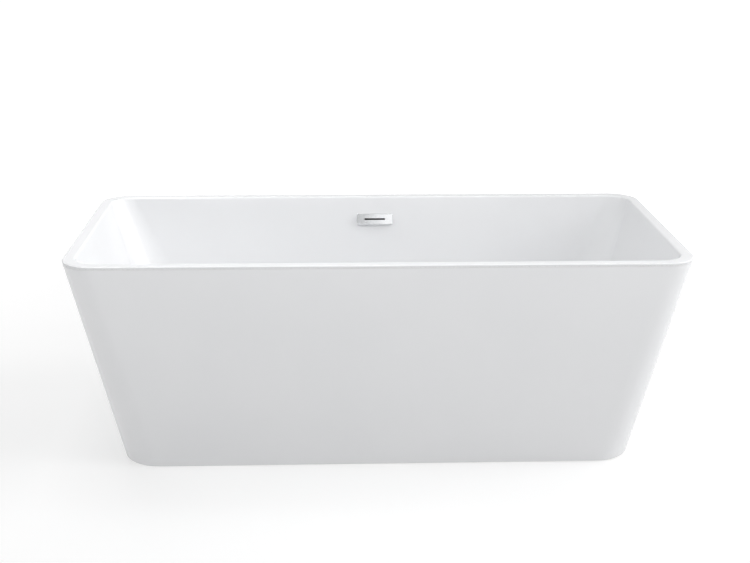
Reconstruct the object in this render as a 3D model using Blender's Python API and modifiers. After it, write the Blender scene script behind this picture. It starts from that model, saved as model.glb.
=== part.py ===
"""Freestanding double-skin acrylic bathtub with its frame, levelling feet, drain and overflow.

Metres, +Z up. The origin is on the floor under the middle of the tub: X runs along the length,
and the overflow is on the +Y side.
"""

import math

import bmesh
import bpy
from mathutils import Matrix, Vector

# ---- Driving dimensions -------------------------------------------------------------------------

LENGTH = 1.600
WIDTH = 0.750
HEIGHT = 0.580
END_TAPER = 0.115  # how far each end draws in from the rim to the floor
SIDE_TAPER = 0.080
GAP = 0.0003  # between pieces that touch

# outer skirt
RIM_CORNER_RADIUS = 0.080
BASE_CORNER_RADIUS = 0.104
SKIRT_WALL = 0.004
SKIRT_FLOOR_GAP = 0.003
SKIRT_FLANGE = 0.022

# rim
RIM_WIDTH = 0.030
RIM_THICKNESS = 0.005
RIM_OUTER_FILLET = 0.0035
RIM_INNER_FILLET = 0.0065
BEAD_THICKNESS = 0.002
BEAD_WIDTH = 0.018

# basin
BASIN_WALL = 0.005
BASIN_DEPTH = 0.450
END_SLOPE = 0.34  # inward run for each metre of depth
SIDE_SLOPE = 0.20
BASIN_CORNER_RADIUS = 0.060
BASIN_CORNER_GROWTH = 0.18  # extra corner radius for each metre of depth
FLOOR_FILLET = 0.080

# board and frame
BOARD_END_INSET = 0.260  # from the end of the tub to the end of the board
BOARD_SIDE_INSET = 0.190
BOARD_THICKNESS = 0.018
BOARD_CORNER_RADIUS = 0.050
TUBE = 0.025
TUBE_WALL = 0.002
TUBE_EDGE = 0.0015
RAIL_END_INSET = 0.260
RAIL_SIDE_INSET = 0.170
CROSSBAR_OVERHANG = 0.030  # past the middle of each rail
CROSSBAR_END_INSET = 0.140  # of the outer crossbars from the ends of the rails
INNER_CROSSBAR_X = 0.150
SCREW_RADIUS = 0.0025
SCREW_BITE = 0.012  # how far a screw reaches past the crossbar
SCREW_TIP = 0.004
SCREW_HEAD_RADIUS = 0.006
SCREW_HEAD_HEIGHT = 0.003
SCREW_HEAD_EDGE = 0.001
HEAD_FLAT = 0.6  # share of a screw head's radius that is flat
SCREW_SPACING = 0.240

# levelling feet
FOOT_END_INSET = 0.070  # from the end of a rail
SOLE_RADIUS = 0.026
SOLE_THICKNESS = 0.003
SOLE_UPPER_EDGE = 0.001
SOLE_LOWER_EDGE = 0.0005
PAD_RADIUS = 0.025
PAD_HEIGHT = 0.008
PAD_RIM_HEIGHT = 0.002
PAD_SHOULDER_WIDTH = 0.002
PAD_SHOULDER_DROP = 0.003
PAD_SOCKET_FLOOR = 0.003
PAD_HUB_RADIUS = 0.012
PAD_HUB_HEIGHT = 0.012
STEM_RADIUS = 0.006
STEM_CHAMFER = 0.001
STEM_PROJECTION = 0.0166  # above the nut on the rail
STEM_HEX = 0.017
STEM_HEX_HEIGHT = 0.007
NUT_ACROSS_FLATS = 0.019
LOCK_NUT_HEIGHT = 0.006
FRAME_NUT_HEIGHT = 0.010
THREAD_CLEARANCE = 0.0003

# drain
DRAIN_Y = 0.100
DRAIN_BORE = 0.021
DRAIN_TUBE_WALL = 0.003
DRAIN_TUBE_LENGTH = 0.032
DRAIN_FLANGE_LIP = 0.011
DRAIN_FLANGE_THICKNESS = 0.003
DRAIN_HOLE_CLEARANCE = 0.002
FLANGE_SEAL_THICKNESS = 0.0015
SEAL_BORE_CLEARANCE = 0.003
SEAL_RIM_INSET = 0.001
STOPPER_OVERHANG = 0.010  # past the bore that it closes
STOPPER_THICKNESS = 0.005
STOPPER_DOME = ((0.5, 0.0003), (0.85, 0.0010), (0.97, 0.0022))  # share of the radius, drop
STOPPER_EDGE_HEIGHT = 0.0012
STOPPER_EDGE_WIDTH = 0.0008
STOPPER_SEAL_OVERHANG = 0.006
STOPPER_SEAL_THICKNESS = 0.0024
STOPPER_BOSS_RADIUS = 0.008
STOPPER_BOSS_HEIGHT = 0.0046
PLUNGER_RADIUS = 0.0029
PLUNGER_LENGTH = 0.027
PLUNGER_SOCKET = 0.0014
CROSS_THICKNESS = 0.004
CROSS_WIDTH = 0.004
CROSS_RISE = 0.004  # above the foot of the drain tube
CROSS_OVERLAP = 0.0015  # into the tube's wall
CROSS_HUB_RADIUS = 0.008
CARTRIDGE_RADIUS = 0.005
CARTRIDGE_BORE = 0.0034
CARTRIDGE_LENGTH = 0.026
CARTRIDGE_FLOOR = 0.002
CARTRIDGE_COLLAR = 0.002
SPRING_WIRE = 0.00035
SPRING_RADIUS = 0.0024
SPRING_TURNS = 5
LOWER_GASKET_THICKNESS = 0.003
SHOE_FLANGE_LIP = 0.008
SHOE_FLANGE_THICKNESS = 0.003
SHOE_WALL = 0.005
SHOE_CLEARANCE = 0.001
SHOE_HEIGHT = 0.0434
SHOE_FLOOR = 0.004
OUTLET_RADIUS = 0.021
OUTLET_BORE = 0.018
OUTLET_LENGTH = 0.018
BOARD_HOLE_CLEARANCE = 0.006
TAIL_RADIUS = 0.019
TAIL_WALL = 0.002
TAIL_END = 0.010
TAIL_WASHER = 0.003
TAIL_COLLAR = 0.004
TAIL_NUT_RADIUS = 0.027
TAIL_NUT_LIP = 0.004
TAIL_NUT_GRIP = 0.012
TAIL_NUT_EDGE = 0.001

# overflow
OVERFLOW_X = 0.010
OVERFLOW_DEPTH = 0.066  # from the rim down to the middle of the cover
COVER_LENGTH = 0.108
COVER_HEIGHT = 0.032
COVER_DEPTH = 0.009
COVER_WALL = 0.0015
COVER_EDGE = 0.0012
COVER_SLOT_LENGTH = 0.064
COVER_SLOT_HEIGHT = 0.005
WINDOW_LENGTH = 0.080
WINDOW_HEIGHT = 0.016
FRONT_GASKET_THICKNESS = 0.001
REAR_GASKET_THICKNESS = 0.002
BRACKET_THICKNESS = 0.002
BRACKET_MARGIN = 0.0012
BRACKET_WINDOW_LENGTH = 0.052
BRACKET_WINDOW_HEIGHT = 0.012
BODY_LENGTH = 0.096
BODY_HEIGHT = 0.030
BODY_WALL = 0.0035
BODY_EDGE = 0.0015
BODY_SCREW_SPACING = 0.066
BODY_BOSS_RADIUS = 0.004
BODY_SCREW_RADIUS = 0.0017
BODY_SCREW_LENGTH = 0.018
BODY_SCREW_HEAD_RADIUS = 0.0033
BODY_SCREW_HEAD_HEIGHT = 0.002
BODY_SCREW_HEAD_RIM = 0.3  # share of the head's height that is straight
SPIGOT_RADIUS = 0.0071
SPIGOT_WALL = 0.0017
SPIGOT_LENGTH = 0.020
HOSE_FIT = 0.0004  # between the spigot and the hose
HOSE_WALL = 0.0020
HOSE_END_CLEARANCE = 0.001
HOSE_STRAIGHT = 0.006  # past the end of a spigot
HOSE_SKIRT_CLEARANCE = 0.009
HOSE_BEND_RISE = 0.1211  # of the start of the lower bend above its end
HOSE_BEND_PULL = 0.7
HOSE_STEPS = 7
CLAMP_WIDTH = 0.008
CLAMP_THICKNESS = 0.0008
CLAMP_CLEARANCE = 0.0005  # from the wall of the basin
CLAMP_PLACE = 0.6  # share of the spigot's length

FILLET_STEPS = 7
CORNER_STEPS = 5
ROUND_STEPS = 20
SMALL_STEPS = 10

# ---- Sizes and levels worked out from them ----------------------------------------------------------

BASE_LENGTH = LENGTH - 2 * END_TAPER
BASE_WIDTH = WIDTH - 2 * SIDE_TAPER
BOARD_LENGTH = LENGTH - 2 * BOARD_END_INSET
BOARD_WIDTH = WIDTH - 2 * BOARD_SIDE_INSET
RAIL_LENGTH = LENGTH - 2 * RAIL_END_INSET
RAIL_SPACING = WIDTH - 2 * RAIL_SIDE_INSET
CROSSBAR_LENGTH = RAIL_SPACING + 2 * CROSSBAR_OVERHANG
OUTER_CROSSBAR_X = RAIL_LENGTH / 2 - CROSSBAR_END_INSET
CROSSBAR_X = (-OUTER_CROSSBAR_X, -INNER_CROSSBAR_X, INNER_CROSSBAR_X, OUTER_CROSSBAR_X)
FOOT_SPACING = RAIL_LENGTH - 2 * FOOT_END_INSET
SCREW_LENGTH = TUBE + SCREW_BITE
DRAIN_TUBE_RADIUS = DRAIN_BORE + DRAIN_TUBE_WALL
DRAIN_FLANGE_RADIUS = DRAIN_TUBE_RADIUS + DRAIN_FLANGE_LIP
STOPPER_RADIUS = DRAIN_BORE + STOPPER_OVERHANG
STOPPER_SEAL_RADIUS = DRAIN_BORE + STOPPER_SEAL_OVERHANG
SHOE_RADIUS = DRAIN_TUBE_RADIUS + SHOE_CLEARANCE + SHOE_WALL
SHOE_FLANGE_RADIUS = SHOE_RADIUS + SHOE_FLANGE_LIP
SPIGOT_BORE = SPIGOT_RADIUS - SPIGOT_WALL
HOSE_RADIUS = SPIGOT_RADIUS + HOSE_FIT + HOSE_WALL
CLAMP_RADIUS = HOSE_RADIUS + GAP + CLAMP_THICKNESS
BODY_DEPTH = 2 * (CLAMP_RADIUS + CLAMP_CLEARANCE - REAR_GASKET_THICKNESS - 2 * GAP)

FLOOR_Z = HEIGHT - BASIN_DEPTH
UNDERSIDE_Z = FLOOR_Z - BASIN_WALL
BOARD_TOP = UNDERSIDE_Z - GAP
BOARD_BOTTOM = BOARD_TOP - BOARD_THICKNESS
CROSSBAR_TOP = BOARD_BOTTOM - GAP
RAIL_TOP = CROSSBAR_TOP - TUBE - GAP
RAIL_BOTTOM = RAIL_TOP - TUBE
STEM_TOP = RAIL_TOP + GAP + FRAME_NUT_HEIGHT + STEM_PROJECTION
PAD_BOTTOM = SOLE_THICKNESS + GAP
SOCKET_FLOOR = PAD_BOTTOM + PAD_SOCKET_FLOOR
HUB_TOP = PAD_BOTTOM + PAD_HEIGHT + PAD_HUB_HEIGHT
SEAL_BOTTOM = FLOOR_Z + GAP
FLANGE_BOTTOM = SEAL_BOTTOM + FLANGE_SEAL_THICKNESS + GAP
FLANGE_TOP = FLANGE_BOTTOM + DRAIN_FLANGE_THICKNESS
STOPPER_SEAL_BOTTOM = FLANGE_TOP + GAP
STOPPER_BOTTOM = STOPPER_SEAL_BOTTOM + STOPPER_SEAL_THICKNESS + GAP
DRAIN_TUBE_BOTTOM = FLANGE_BOTTOM - DRAIN_TUBE_LENGTH
CROSS_BOTTOM = DRAIN_TUBE_BOTTOM + CROSS_RISE
CARTRIDGE_BOTTOM = DRAIN_TUBE_BOTTOM
PLUNGER_TOP = STOPPER_BOTTOM + PLUNGER_SOCKET
SHOE_TOP = UNDERSIDE_Z - 2 * GAP - LOWER_GASKET_THICKNESS
SHOE_BOTTOM = SHOE_TOP - SHOE_HEIGHT
OUTLET_BOTTOM = SHOE_BOTTOM - OUTLET_LENGTH
HOSE_LEVEL = (RAIL_TOP + BOARD_BOTTOM) / 2
HOSE_BEND_HEIGHT = HOSE_LEVEL + HOSE_BEND_RISE
SIDE_ANGLE = math.atan(SIDE_SLOPE)


# ---- Helpers ----------------------------------------------------------------------------------------


def clear_scene():
    for obj in list(bpy.data.objects):
        bpy.data.objects.remove(obj, do_unlink=True)


def new_collection(name):
    collection = bpy.data.collections.new(name)
    bpy.context.scene.collection.children.link(collection)
    return collection


def finish_with(obj, color, roughness, metallic=0.0):
    """Give the object a material of its own."""
    material = bpy.data.materials.new(obj.name)
    material.use_nodes = True
    shader = material.node_tree.nodes["Principled BSDF"]
    shader.inputs["Base Color"].default_value = (*color, 1.0)
    shader.inputs["Roughness"].default_value = roughness
    shader.inputs["Metallic"].default_value = metallic
    obj.data.materials.clear()
    obj.data.materials.append(material)


def acrylic(obj):
    finish_with(obj, (0.86, 0.86, 0.87), 0.12)


def chrome(obj):
    finish_with(obj, (0.80, 0.80, 0.82), 0.08, 1.0)


def zinc(obj):
    finish_with(obj, (0.62, 0.63, 0.65), 0.35, 1.0)


def rubber(obj):
    finish_with(obj, (0.03, 0.03, 0.03), 0.8)


def white_plastic(obj):
    finish_with(obj, (0.80, 0.80, 0.79), 0.45)


def dark_plastic(obj):
    finish_with(obj, (0.06, 0.06, 0.065), 0.5)


def add_object(name, mesh, collection, parent=None):
    obj = bpy.data.objects.new(name, mesh)
    collection.objects.link(obj)
    if parent:
        obj.parent = parent
    return obj


def mesh_from(name, build):
    """A mesh filled by build, which takes an empty bmesh."""
    shape = bmesh.new()
    build(shape)
    bmesh.ops.recalc_face_normals(shape, faces=shape.faces)
    mesh = bpy.data.meshes.new(name)
    shape.to_mesh(mesh)
    shape.free()
    return mesh


def smooth(obj, angle=35):
    obj.data.shade_smooth()
    obj.data.set_sharp_from_angle(angle=math.radians(angle))


def box(name, size, center, collection, parent=None):
    def build(shape):
        bmesh.ops.create_cube(shape, size=1.0, matrix=Matrix.Diagonal((*size, 1.0)))

    obj = add_object(name, mesh_from(name, build), collection, parent)
    obj.location = center
    return obj


def cylinder(name, radius, length, center, collection, axis="Z", steps=ROUND_STEPS, parent=None):
    """A cylinder centred on a point, along one axis."""

    def build(shape):
        bmesh.ops.create_cone(
            shape, cap_ends=True, segments=steps, radius1=radius, radius2=radius, depth=length
        )

    obj = add_object(name, mesh_from(name, build), collection, parent)
    obj.location = center
    if axis == "X":
        obj.rotation_euler = (0, math.pi / 2, 0)
    elif axis == "Y":
        obj.rotation_euler = (math.pi / 2, 0, 0)
    return obj


def bore(name, radius, length, center, collection, axis="Z", steps=ROUND_STEPS, parent=None):
    """A cutter whose flats, and not only its corners, clear the radius."""
    corner = radius / math.cos(math.pi / steps)
    return cylinder(name, corner, length, center, collection, axis, steps, parent)


def turned(name, profile, collection, closed, center=(0, 0, 0), steps=ROUND_STEPS, parent=None):
    """A profile of (radius, height) points turned about Z. It runs down the outer side."""
    mesh = bpy.data.meshes.new(name)
    count = len(profile)
    edges = [(i, (i + 1) % count) for i in range(count if closed else count - 1)]
    mesh.from_pydata([(radius, 0, height) for radius, height in profile], edges, [])
    obj = add_object(name, mesh, collection, parent)
    obj.location = center
    screw = obj.modifiers.new("Turn", "SCREW")
    screw.steps = screw.render_steps = steps
    screw.use_merge_vertices = True
    screw.merge_threshold = 0.00001
    bake(obj)
    smooth(obj)
    return obj


def ring(name, inner, outer, bottom, top, collection, center=(0, 0, 0), steps=ROUND_STEPS, parent=None):
    """A flat washer or sleeve."""
    profile = [(inner, top), (outer, top), (outer, bottom), (inner, bottom)]
    return turned(name, profile, collection, True, center, steps, parent)


def bake(obj):
    """Swap the object's mesh for the result of its modifiers."""
    graph = bpy.context.evaluated_depsgraph_get()
    mesh = bpy.data.meshes.new_from_object(obj.evaluated_get(graph))
    obj.modifiers.clear()
    obj.data = mesh
    mesh.name = obj.name


def combine(obj, other, operation):
    modifier = obj.modifiers.new(operation.title(), "BOOLEAN")
    modifier.operation = operation
    modifier.object = other
    modifier.solver = "EXACT"


def bevel(obj, width, segments=2, angle=50):
    modifier = obj.modifiers.new("Edges", "BEVEL")
    modifier.width = width
    modifier.segments = segments
    modifier.limit_method = "ANGLE"
    modifier.angle_limit = math.radians(angle)


def rounded_rectangle(half_x, half_y, radius, height):
    """Points of a rounded rectangle, anticlockwise from its +X side."""
    points = []
    for quarter in range(4):
        turn = quarter * math.pi / 2
        sign_x = 1 if quarter in (0, 3) else -1
        sign_y = 1 if quarter in (0, 1) else -1
        for step in range(CORNER_STEPS + 1):
            angle = turn + step * math.pi / 2 / CORNER_STEPS
            x = sign_x * (half_x - radius) + radius * math.cos(angle)
            y = sign_y * (half_y - radius) + radius * math.sin(angle)
            points.append((x, y, height))
    return points


def loft(name, sections, collection, closed=False):
    """A solid through sections of equal point counts, capped unless the last joins the first."""

    def build(shape):
        loops = [[shape.verts.new(point) for point in section] for section in sections]
        pairs = list(zip(loops, loops[1:]))
        if closed:
            pairs.append((loops[-1], loops[0]))
        else:
            shape.faces.new(loops[0])
            shape.faces.new(loops[-1])
        for lower, upper in pairs:
            for i in range(len(lower)):
                j = (i + 1) % len(lower)
                shape.faces.new((lower[i], lower[j], upper[j], upper[i]))

    obj = add_object(name, mesh_from(name, build), collection)
    smooth(obj)
    return obj


# ---- Shapes that several pieces share -------------------------------------------------------------


def outside_at(height, inset=0.0):
    """Half length, half width and corner radius of the outer wall at a height."""
    share = height / (HEIGHT - RIM_OUTER_FILLET)
    half_x = (BASE_LENGTH + (LENGTH - BASE_LENGTH) * share) / 2 - inset
    half_y = (BASE_WIDTH + (WIDTH - BASE_WIDTH) * share) / 2 - inset
    radius = BASE_CORNER_RADIUS + (RIM_CORNER_RADIUS - BASE_CORNER_RADIUS) * share - inset
    return half_x, half_y, radius


def wall_at(height, half_at_rim, slope, growth):
    """Where a basin wall and its floor fillet are at a height, and how far the fillet brings it in."""
    tilt = math.sqrt(1 + slope * slope)
    radius = FLOOR_FILLET + growth
    floor = FLOOR_Z - growth
    straight = half_at_rim - slope * (HEIGHT - height) + growth * tilt
    tangent = floor + radius * (1 - slope / tilt)
    if height >= tangent:
        return straight, 0.0
    center_height = floor + radius
    center = half_at_rim - slope * (HEIGHT - center_height) + growth * tilt - radius * tilt
    place = center + math.sqrt(max(radius**2 - (center_height - height) ** 2, 0.0))
    return place, straight - place


def basin_at(height, growth=0.0):
    """Half length, half width and corner radius of the basin at a height, grown by a wall."""
    half_x, inset_x = wall_at(height, LENGTH / 2 - RIM_WIDTH, END_SLOPE, growth)
    half_y, inset_y = wall_at(height, WIDTH / 2 - RIM_WIDTH, SIDE_SLOPE, growth)
    radius = BASIN_CORNER_RADIUS + BASIN_CORNER_GROWTH * (HEIGHT - height) + growth
    return half_x, half_y, radius - min(inset_x, inset_y)


def fillet_heights(growth=0.0):
    """Heights from the basin floor up its fillet."""
    radius = FLOOR_FILLET + growth
    last = math.pi / 2 - SIDE_ANGLE
    turns = [last * i / FILLET_STEPS for i in range(FILLET_STEPS + 1)]
    return [FLOOR_Z - growth + radius * (1 - math.cos(turn)) for turn in turns]


def overflow_seat(collection):
    """An empty on the inside of the +Y wall: its Z points into the tub, and its Y up the wall."""
    seat = bpy.data.objects.new("overflow_seat", None)
    collection.objects.link(seat)
    height = HEIGHT - OVERFLOW_DEPTH
    seat.location = (OVERFLOW_X, WIDTH / 2 - RIM_WIDTH - SIDE_SLOPE * OVERFLOW_DEPTH, height)
    seat.rotation_euler = (math.pi / 2 - SIDE_ANGLE, 0, 0)
    bpy.context.view_layer.update()
    return seat


# ---- Shells ---------------------------------------------------------------------------------------------


def make_basin(parts, cutters, seat):
    """Inner shell: floor, walls, rim and underside in one sheet of even thickness."""
    sections = [rounded_rectangle(*basin_at(z), z) for z in fillet_heights()]
    rim_start = HEIGHT - RIM_INNER_FILLET
    for degrees in (15, 40, 65, 90):
        angle = math.radians(degrees)
        height = rim_start + RIM_INNER_FILLET * math.sin(angle)
        half_x, half_y, radius = basin_at(rim_start)
        reach_x = RIM_INNER_FILLET * (math.sqrt(1 + END_SLOPE**2) - math.cos(angle))
        reach_y = RIM_INNER_FILLET * (math.sqrt(1 + SIDE_SLOPE**2) - math.cos(angle))
        sections.append(
            rounded_rectangle(half_x + reach_x, half_y + reach_y, radius + reach_y, height)
        )
    for degrees in (90, 60, 30, 0):
        angle = math.radians(degrees)
        height = HEIGHT - RIM_OUTER_FILLET * (1 - math.sin(angle))
        inset = RIM_OUTER_FILLET * (1 - math.cos(angle))
        sections.append(rounded_rectangle(*outside_at(height, inset), height))
    rim_bottom = HEIGHT - RIM_THICKNESS
    sections.append(rounded_rectangle(*outside_at(rim_bottom), rim_bottom))
    sections.append(rounded_rectangle(*basin_at(rim_bottom, BASIN_WALL), rim_bottom))
    for z in reversed(fillet_heights(BASIN_WALL)):
        sections.append(rounded_rectangle(*basin_at(z, BASIN_WALL), z))
    basin = loft("basin", sections, parts)
    acrylic(basin)

    hole = bore(
        "basin_drain_cutter",
        DRAIN_TUBE_RADIUS + DRAIN_HOLE_CLEARANCE,
        6 * BASIN_WALL,
        (0, DRAIN_Y, FLOOR_Z),
        cutters,
    )
    combine(basin, hole, "DIFFERENCE")
    window = box(
        "basin_overflow_cutter", (WINDOW_LENGTH, WINDOW_HEIGHT, 6 * BASIN_WALL), (0, 0, 0), cutters, seat
    )
    combine(basin, window, "DIFFERENCE")


def make_skirt(parts):
    """Outer shell: tapered wall with a flange turned in under the rim."""
    top = HEIGHT - RIM_THICKNESS - BEAD_THICKNESS - 2 * GAP
    under_flange = top - SKIRT_WALL
    sections = [
        rounded_rectangle(*outside_at(SKIRT_FLOOR_GAP), SKIRT_FLOOR_GAP),
        rounded_rectangle(*outside_at(top), top),
        rounded_rectangle(*outside_at(top, SKIRT_FLANGE), top),
        rounded_rectangle(*outside_at(under_flange, SKIRT_FLANGE), under_flange),
        rounded_rectangle(*outside_at(under_flange, SKIRT_WALL), under_flange),
        rounded_rectangle(*outside_at(SKIRT_FLOOR_GAP, SKIRT_WALL), SKIRT_FLOOR_GAP),
    ]
    acrylic(loft("outer_skirt", sections, parts, closed=True))


def make_rim_bead(parts):
    """Adhesive bead that joins the basin's rim to the skirt's flange."""
    top = HEIGHT - RIM_THICKNESS - GAP
    bottom = top - BEAD_THICKNESS
    outer = outside_at(bottom, GAP)
    inner = outside_at(bottom, BEAD_WIDTH)
    sections = [
        rounded_rectangle(*outer, bottom),
        rounded_rectangle(*outer, top),
        rounded_rectangle(*inner, top),
        rounded_rectangle(*inner, bottom),
    ]
    bead = loft("rim_bond_bead", sections, parts, closed=True)
    finish_with(bead, (0.82, 0.82, 0.80), 0.6)


# ---- Board and frame ----------------------------------------------------------------------------------


def screw_places():
    """(x, y) of each screw that holds the board to the crossbars."""
    return [(x, side * SCREW_SPACING / 2) for x in CROSSBAR_X for side in (-1, 1)]


def make_board(parts, cutters):
    """Reinforcing board under the basin floor, open around the drain."""
    outline = (BOARD_LENGTH / 2, BOARD_WIDTH / 2, BOARD_CORNER_RADIUS)
    sections = [rounded_rectangle(*outline, z) for z in (BOARD_BOTTOM, BOARD_TOP)]
    board = loft("base_board", sections, parts)
    finish_with(board, (0.62, 0.45, 0.27), 0.75)
    hole = bore(
        "board_drain_cutter",
        SHOE_FLANGE_RADIUS + BOARD_HOLE_CLEARANCE,
        3 * BOARD_THICKNESS,
        (0, DRAIN_Y, BOARD_TOP),
        cutters,
    )
    combine(board, hole, "DIFFERENCE")
    head_top = CROSSBAR_TOP - TUBE - GAP
    tip = head_top + SCREW_LENGTH + GAP
    for number, (x, y) in enumerate(screw_places(), 1):
        pilot = bore(
            f"board_pilot_cutter_{number}",
            SCREW_RADIUS + THREAD_CLEARANCE,
            2 * (tip - BOARD_BOTTOM),
            (x, y, BOARD_BOTTOM),
            cutters,
            steps=SMALL_STEPS,
        )
        combine(board, pilot, "DIFFERENCE")


def square_tube(name, length, center, axis, parts, cutters):
    """A square steel tube, open at both ends."""
    clear = TUBE - 2 * TUBE_WALL
    if axis == "X":
        outer, inner = (length, TUBE, TUBE), (2 * length, clear, clear)
    else:
        outer, inner = (TUBE, length, TUBE), (clear, 2 * length, clear)
    tube = box(name, outer, center, parts)
    bevel(tube, TUBE_EDGE, segments=1)
    combine(tube, box(name + "_bore_cutter", inner, center, cutters), "DIFFERENCE")
    finish_with(tube, (0.45, 0.46, 0.48), 0.4, 1.0)
    return tube


def make_frame(parts, cutters):
    """Two long rails on the feet, and the crossbars on the rails that carry the board."""
    height = RAIL_BOTTOM + TUBE / 2
    for side, name in ((-1, "rail_front"), (1, "rail_back")):
        y = side * RAIL_SPACING / 2
        rail = square_tube(name, RAIL_LENGTH, (0, y, height), "X", parts, cutters)
        for end in (-1, 1):
            hole = bore(
                f"{name}_foot_cutter_{'left' if end < 0 else 'right'}",
                STEM_RADIUS + THREAD_CLEARANCE,
                3 * TUBE,
                (end * FOOT_SPACING / 2, y, height),
                cutters,
                steps=SMALL_STEPS,
            )
            combine(rail, hole, "DIFFERENCE")
    height = CROSSBAR_TOP - TUBE / 2
    for number, x in enumerate(CROSSBAR_X, 1):
        crossbar = square_tube(
            f"crossbar_{number}", CROSSBAR_LENGTH, (x, 0, height), "Y", parts, cutters
        )
        for side in (-1, 1):
            hole = bore(
                f"crossbar_{number}_screw_cutter_{'front' if side < 0 else 'back'}",
                SCREW_RADIUS + THREAD_CLEARANCE,
                3 * TUBE,
                (x, side * SCREW_SPACING / 2, height),
                cutters,
                steps=SMALL_STEPS,
            )
            combine(crossbar, hole, "DIFFERENCE")


def make_board_screws(parts):
    """Screws up through the crossbars into the board."""
    head_top = CROSSBAR_TOP - TUBE - GAP
    head_bottom = head_top - SCREW_HEAD_HEIGHT
    tip = head_top + SCREW_LENGTH
    profile = [
        (0, tip),
        (SCREW_RADIUS, tip - SCREW_TIP),
        (SCREW_RADIUS, head_top),
        (SCREW_HEAD_RADIUS, head_top),
        (SCREW_HEAD_RADIUS, head_bottom + SCREW_HEAD_EDGE),
        (HEAD_FLAT * SCREW_HEAD_RADIUS, head_bottom),
        (0, head_bottom),
    ]
    for number, (x, y) in enumerate(screw_places(), 1):
        zinc(turned(f"board_screw_{number}", profile, parts, False, (x, y, 0), SMALL_STEPS))


# ---- Levelling feet -----------------------------------------------------------------------------------


def hex_nut(name, height, bottom, parts, cutters):
    """A hexagon nut on the Z axis, as a mesh that several nuts share."""
    corner = NUT_ACROSS_FLATS / math.sqrt(3)
    nut = cylinder(name, corner, height, (0, 0, bottom + height / 2), parts, steps=6)
    hole = bore(
        name + "_cutter",
        STEM_RADIUS + THREAD_CLEARANCE,
        3 * height,
        (0, 0, bottom + height / 2),
        cutters,
        steps=SMALL_STEPS,
    )
    bpy.context.view_layer.update()
    combine(nut, hole, "DIFFERENCE")
    bake(nut)
    mesh = nut.data
    mesh.transform(nut.matrix_world)
    bpy.data.objects.remove(nut)
    return mesh


def foot_stem_mesh(parts, cutters):
    """Threaded stem with the hexagon that turns it, as one mesh for all feet."""
    profile = [
        (0, STEM_TOP),
        (STEM_RADIUS - STEM_CHAMFER, STEM_TOP),
        (STEM_RADIUS, STEM_TOP - STEM_CHAMFER),
        (STEM_RADIUS, SOCKET_FLOOR + GAP),
        (0, SOCKET_FLOOR + GAP),
    ]
    stem = turned("foot_stem", profile, parts, False, steps=SMALL_STEPS)
    middle = HUB_TOP + GAP + STEM_HEX_HEIGHT / 2
    collar = cylinder(
        "foot_stem_hexagon", STEM_HEX / math.sqrt(3), STEM_HEX_HEIGHT, (0, 0, middle), cutters, steps=6
    )
    bpy.context.view_layer.update()
    combine(stem, collar, "UNION")
    bake(stem)
    mesh = stem.data
    bpy.data.objects.remove(stem)
    return mesh


def make_feet(parts, cutters):
    """Four feet: rubber sole, pad, threaded stem, lock nut under the rail and nut fixed on the rail."""
    socket = STEM_RADIUS + THREAD_CLEARANCE
    pad_top = PAD_BOTTOM + PAD_HEIGHT
    pad_profile = [
        (0, SOCKET_FLOOR),
        (socket, SOCKET_FLOOR),
        (socket, HUB_TOP),
        (PAD_HUB_RADIUS, HUB_TOP),
        (PAD_HUB_RADIUS, pad_top),
        (PAD_RADIUS - PAD_SHOULDER_WIDTH, pad_top - PAD_SHOULDER_DROP),
        (PAD_RADIUS, PAD_BOTTOM + PAD_RIM_HEIGHT),
        (PAD_RADIUS, PAD_BOTTOM),
        (0, PAD_BOTTOM),
    ]
    sole_profile = [
        (0, SOLE_THICKNESS),
        (SOLE_RADIUS - SOLE_UPPER_EDGE, SOLE_THICKNESS),
        (SOLE_RADIUS, SOLE_THICKNESS - SOLE_UPPER_EDGE),
        (SOLE_RADIUS, SOLE_LOWER_EDGE),
        (SOLE_RADIUS - SOLE_LOWER_EDGE, 0),
        (0, 0),
    ]
    stem_mesh = foot_stem_mesh(parts, cutters)
    lock_bottom = RAIL_BOTTOM - GAP - LOCK_NUT_HEIGHT
    lock_mesh = hex_nut("foot_lock_nut", LOCK_NUT_HEIGHT, lock_bottom, parts, cutters)
    frame_mesh = hex_nut("foot_frame_nut", FRAME_NUT_HEIGHT, RAIL_TOP + GAP, parts, cutters)
    places = [(end, side) for side in (-1, 1) for end in (-1, 1)]
    for number, (end, side) in enumerate(places, 1):
        place = (end * FOOT_SPACING / 2, side * RAIL_SPACING / 2, 0)
        rubber(turned(f"foot_sole_{number}", sole_profile, parts, False, place))
        dark_plastic(turned(f"foot_pad_{number}", pad_profile, parts, False, place))
        for kind, mesh in (("stem", stem_mesh), ("lock_nut", lock_mesh), ("frame_nut", frame_mesh)):
            piece = add_object(f"foot_{kind}_{number}", mesh.copy(), parts)
            piece.location = place
            smooth(piece)
            zinc(piece)


# ---- Drain ----------------------------------------------------------------------------------------------


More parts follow.
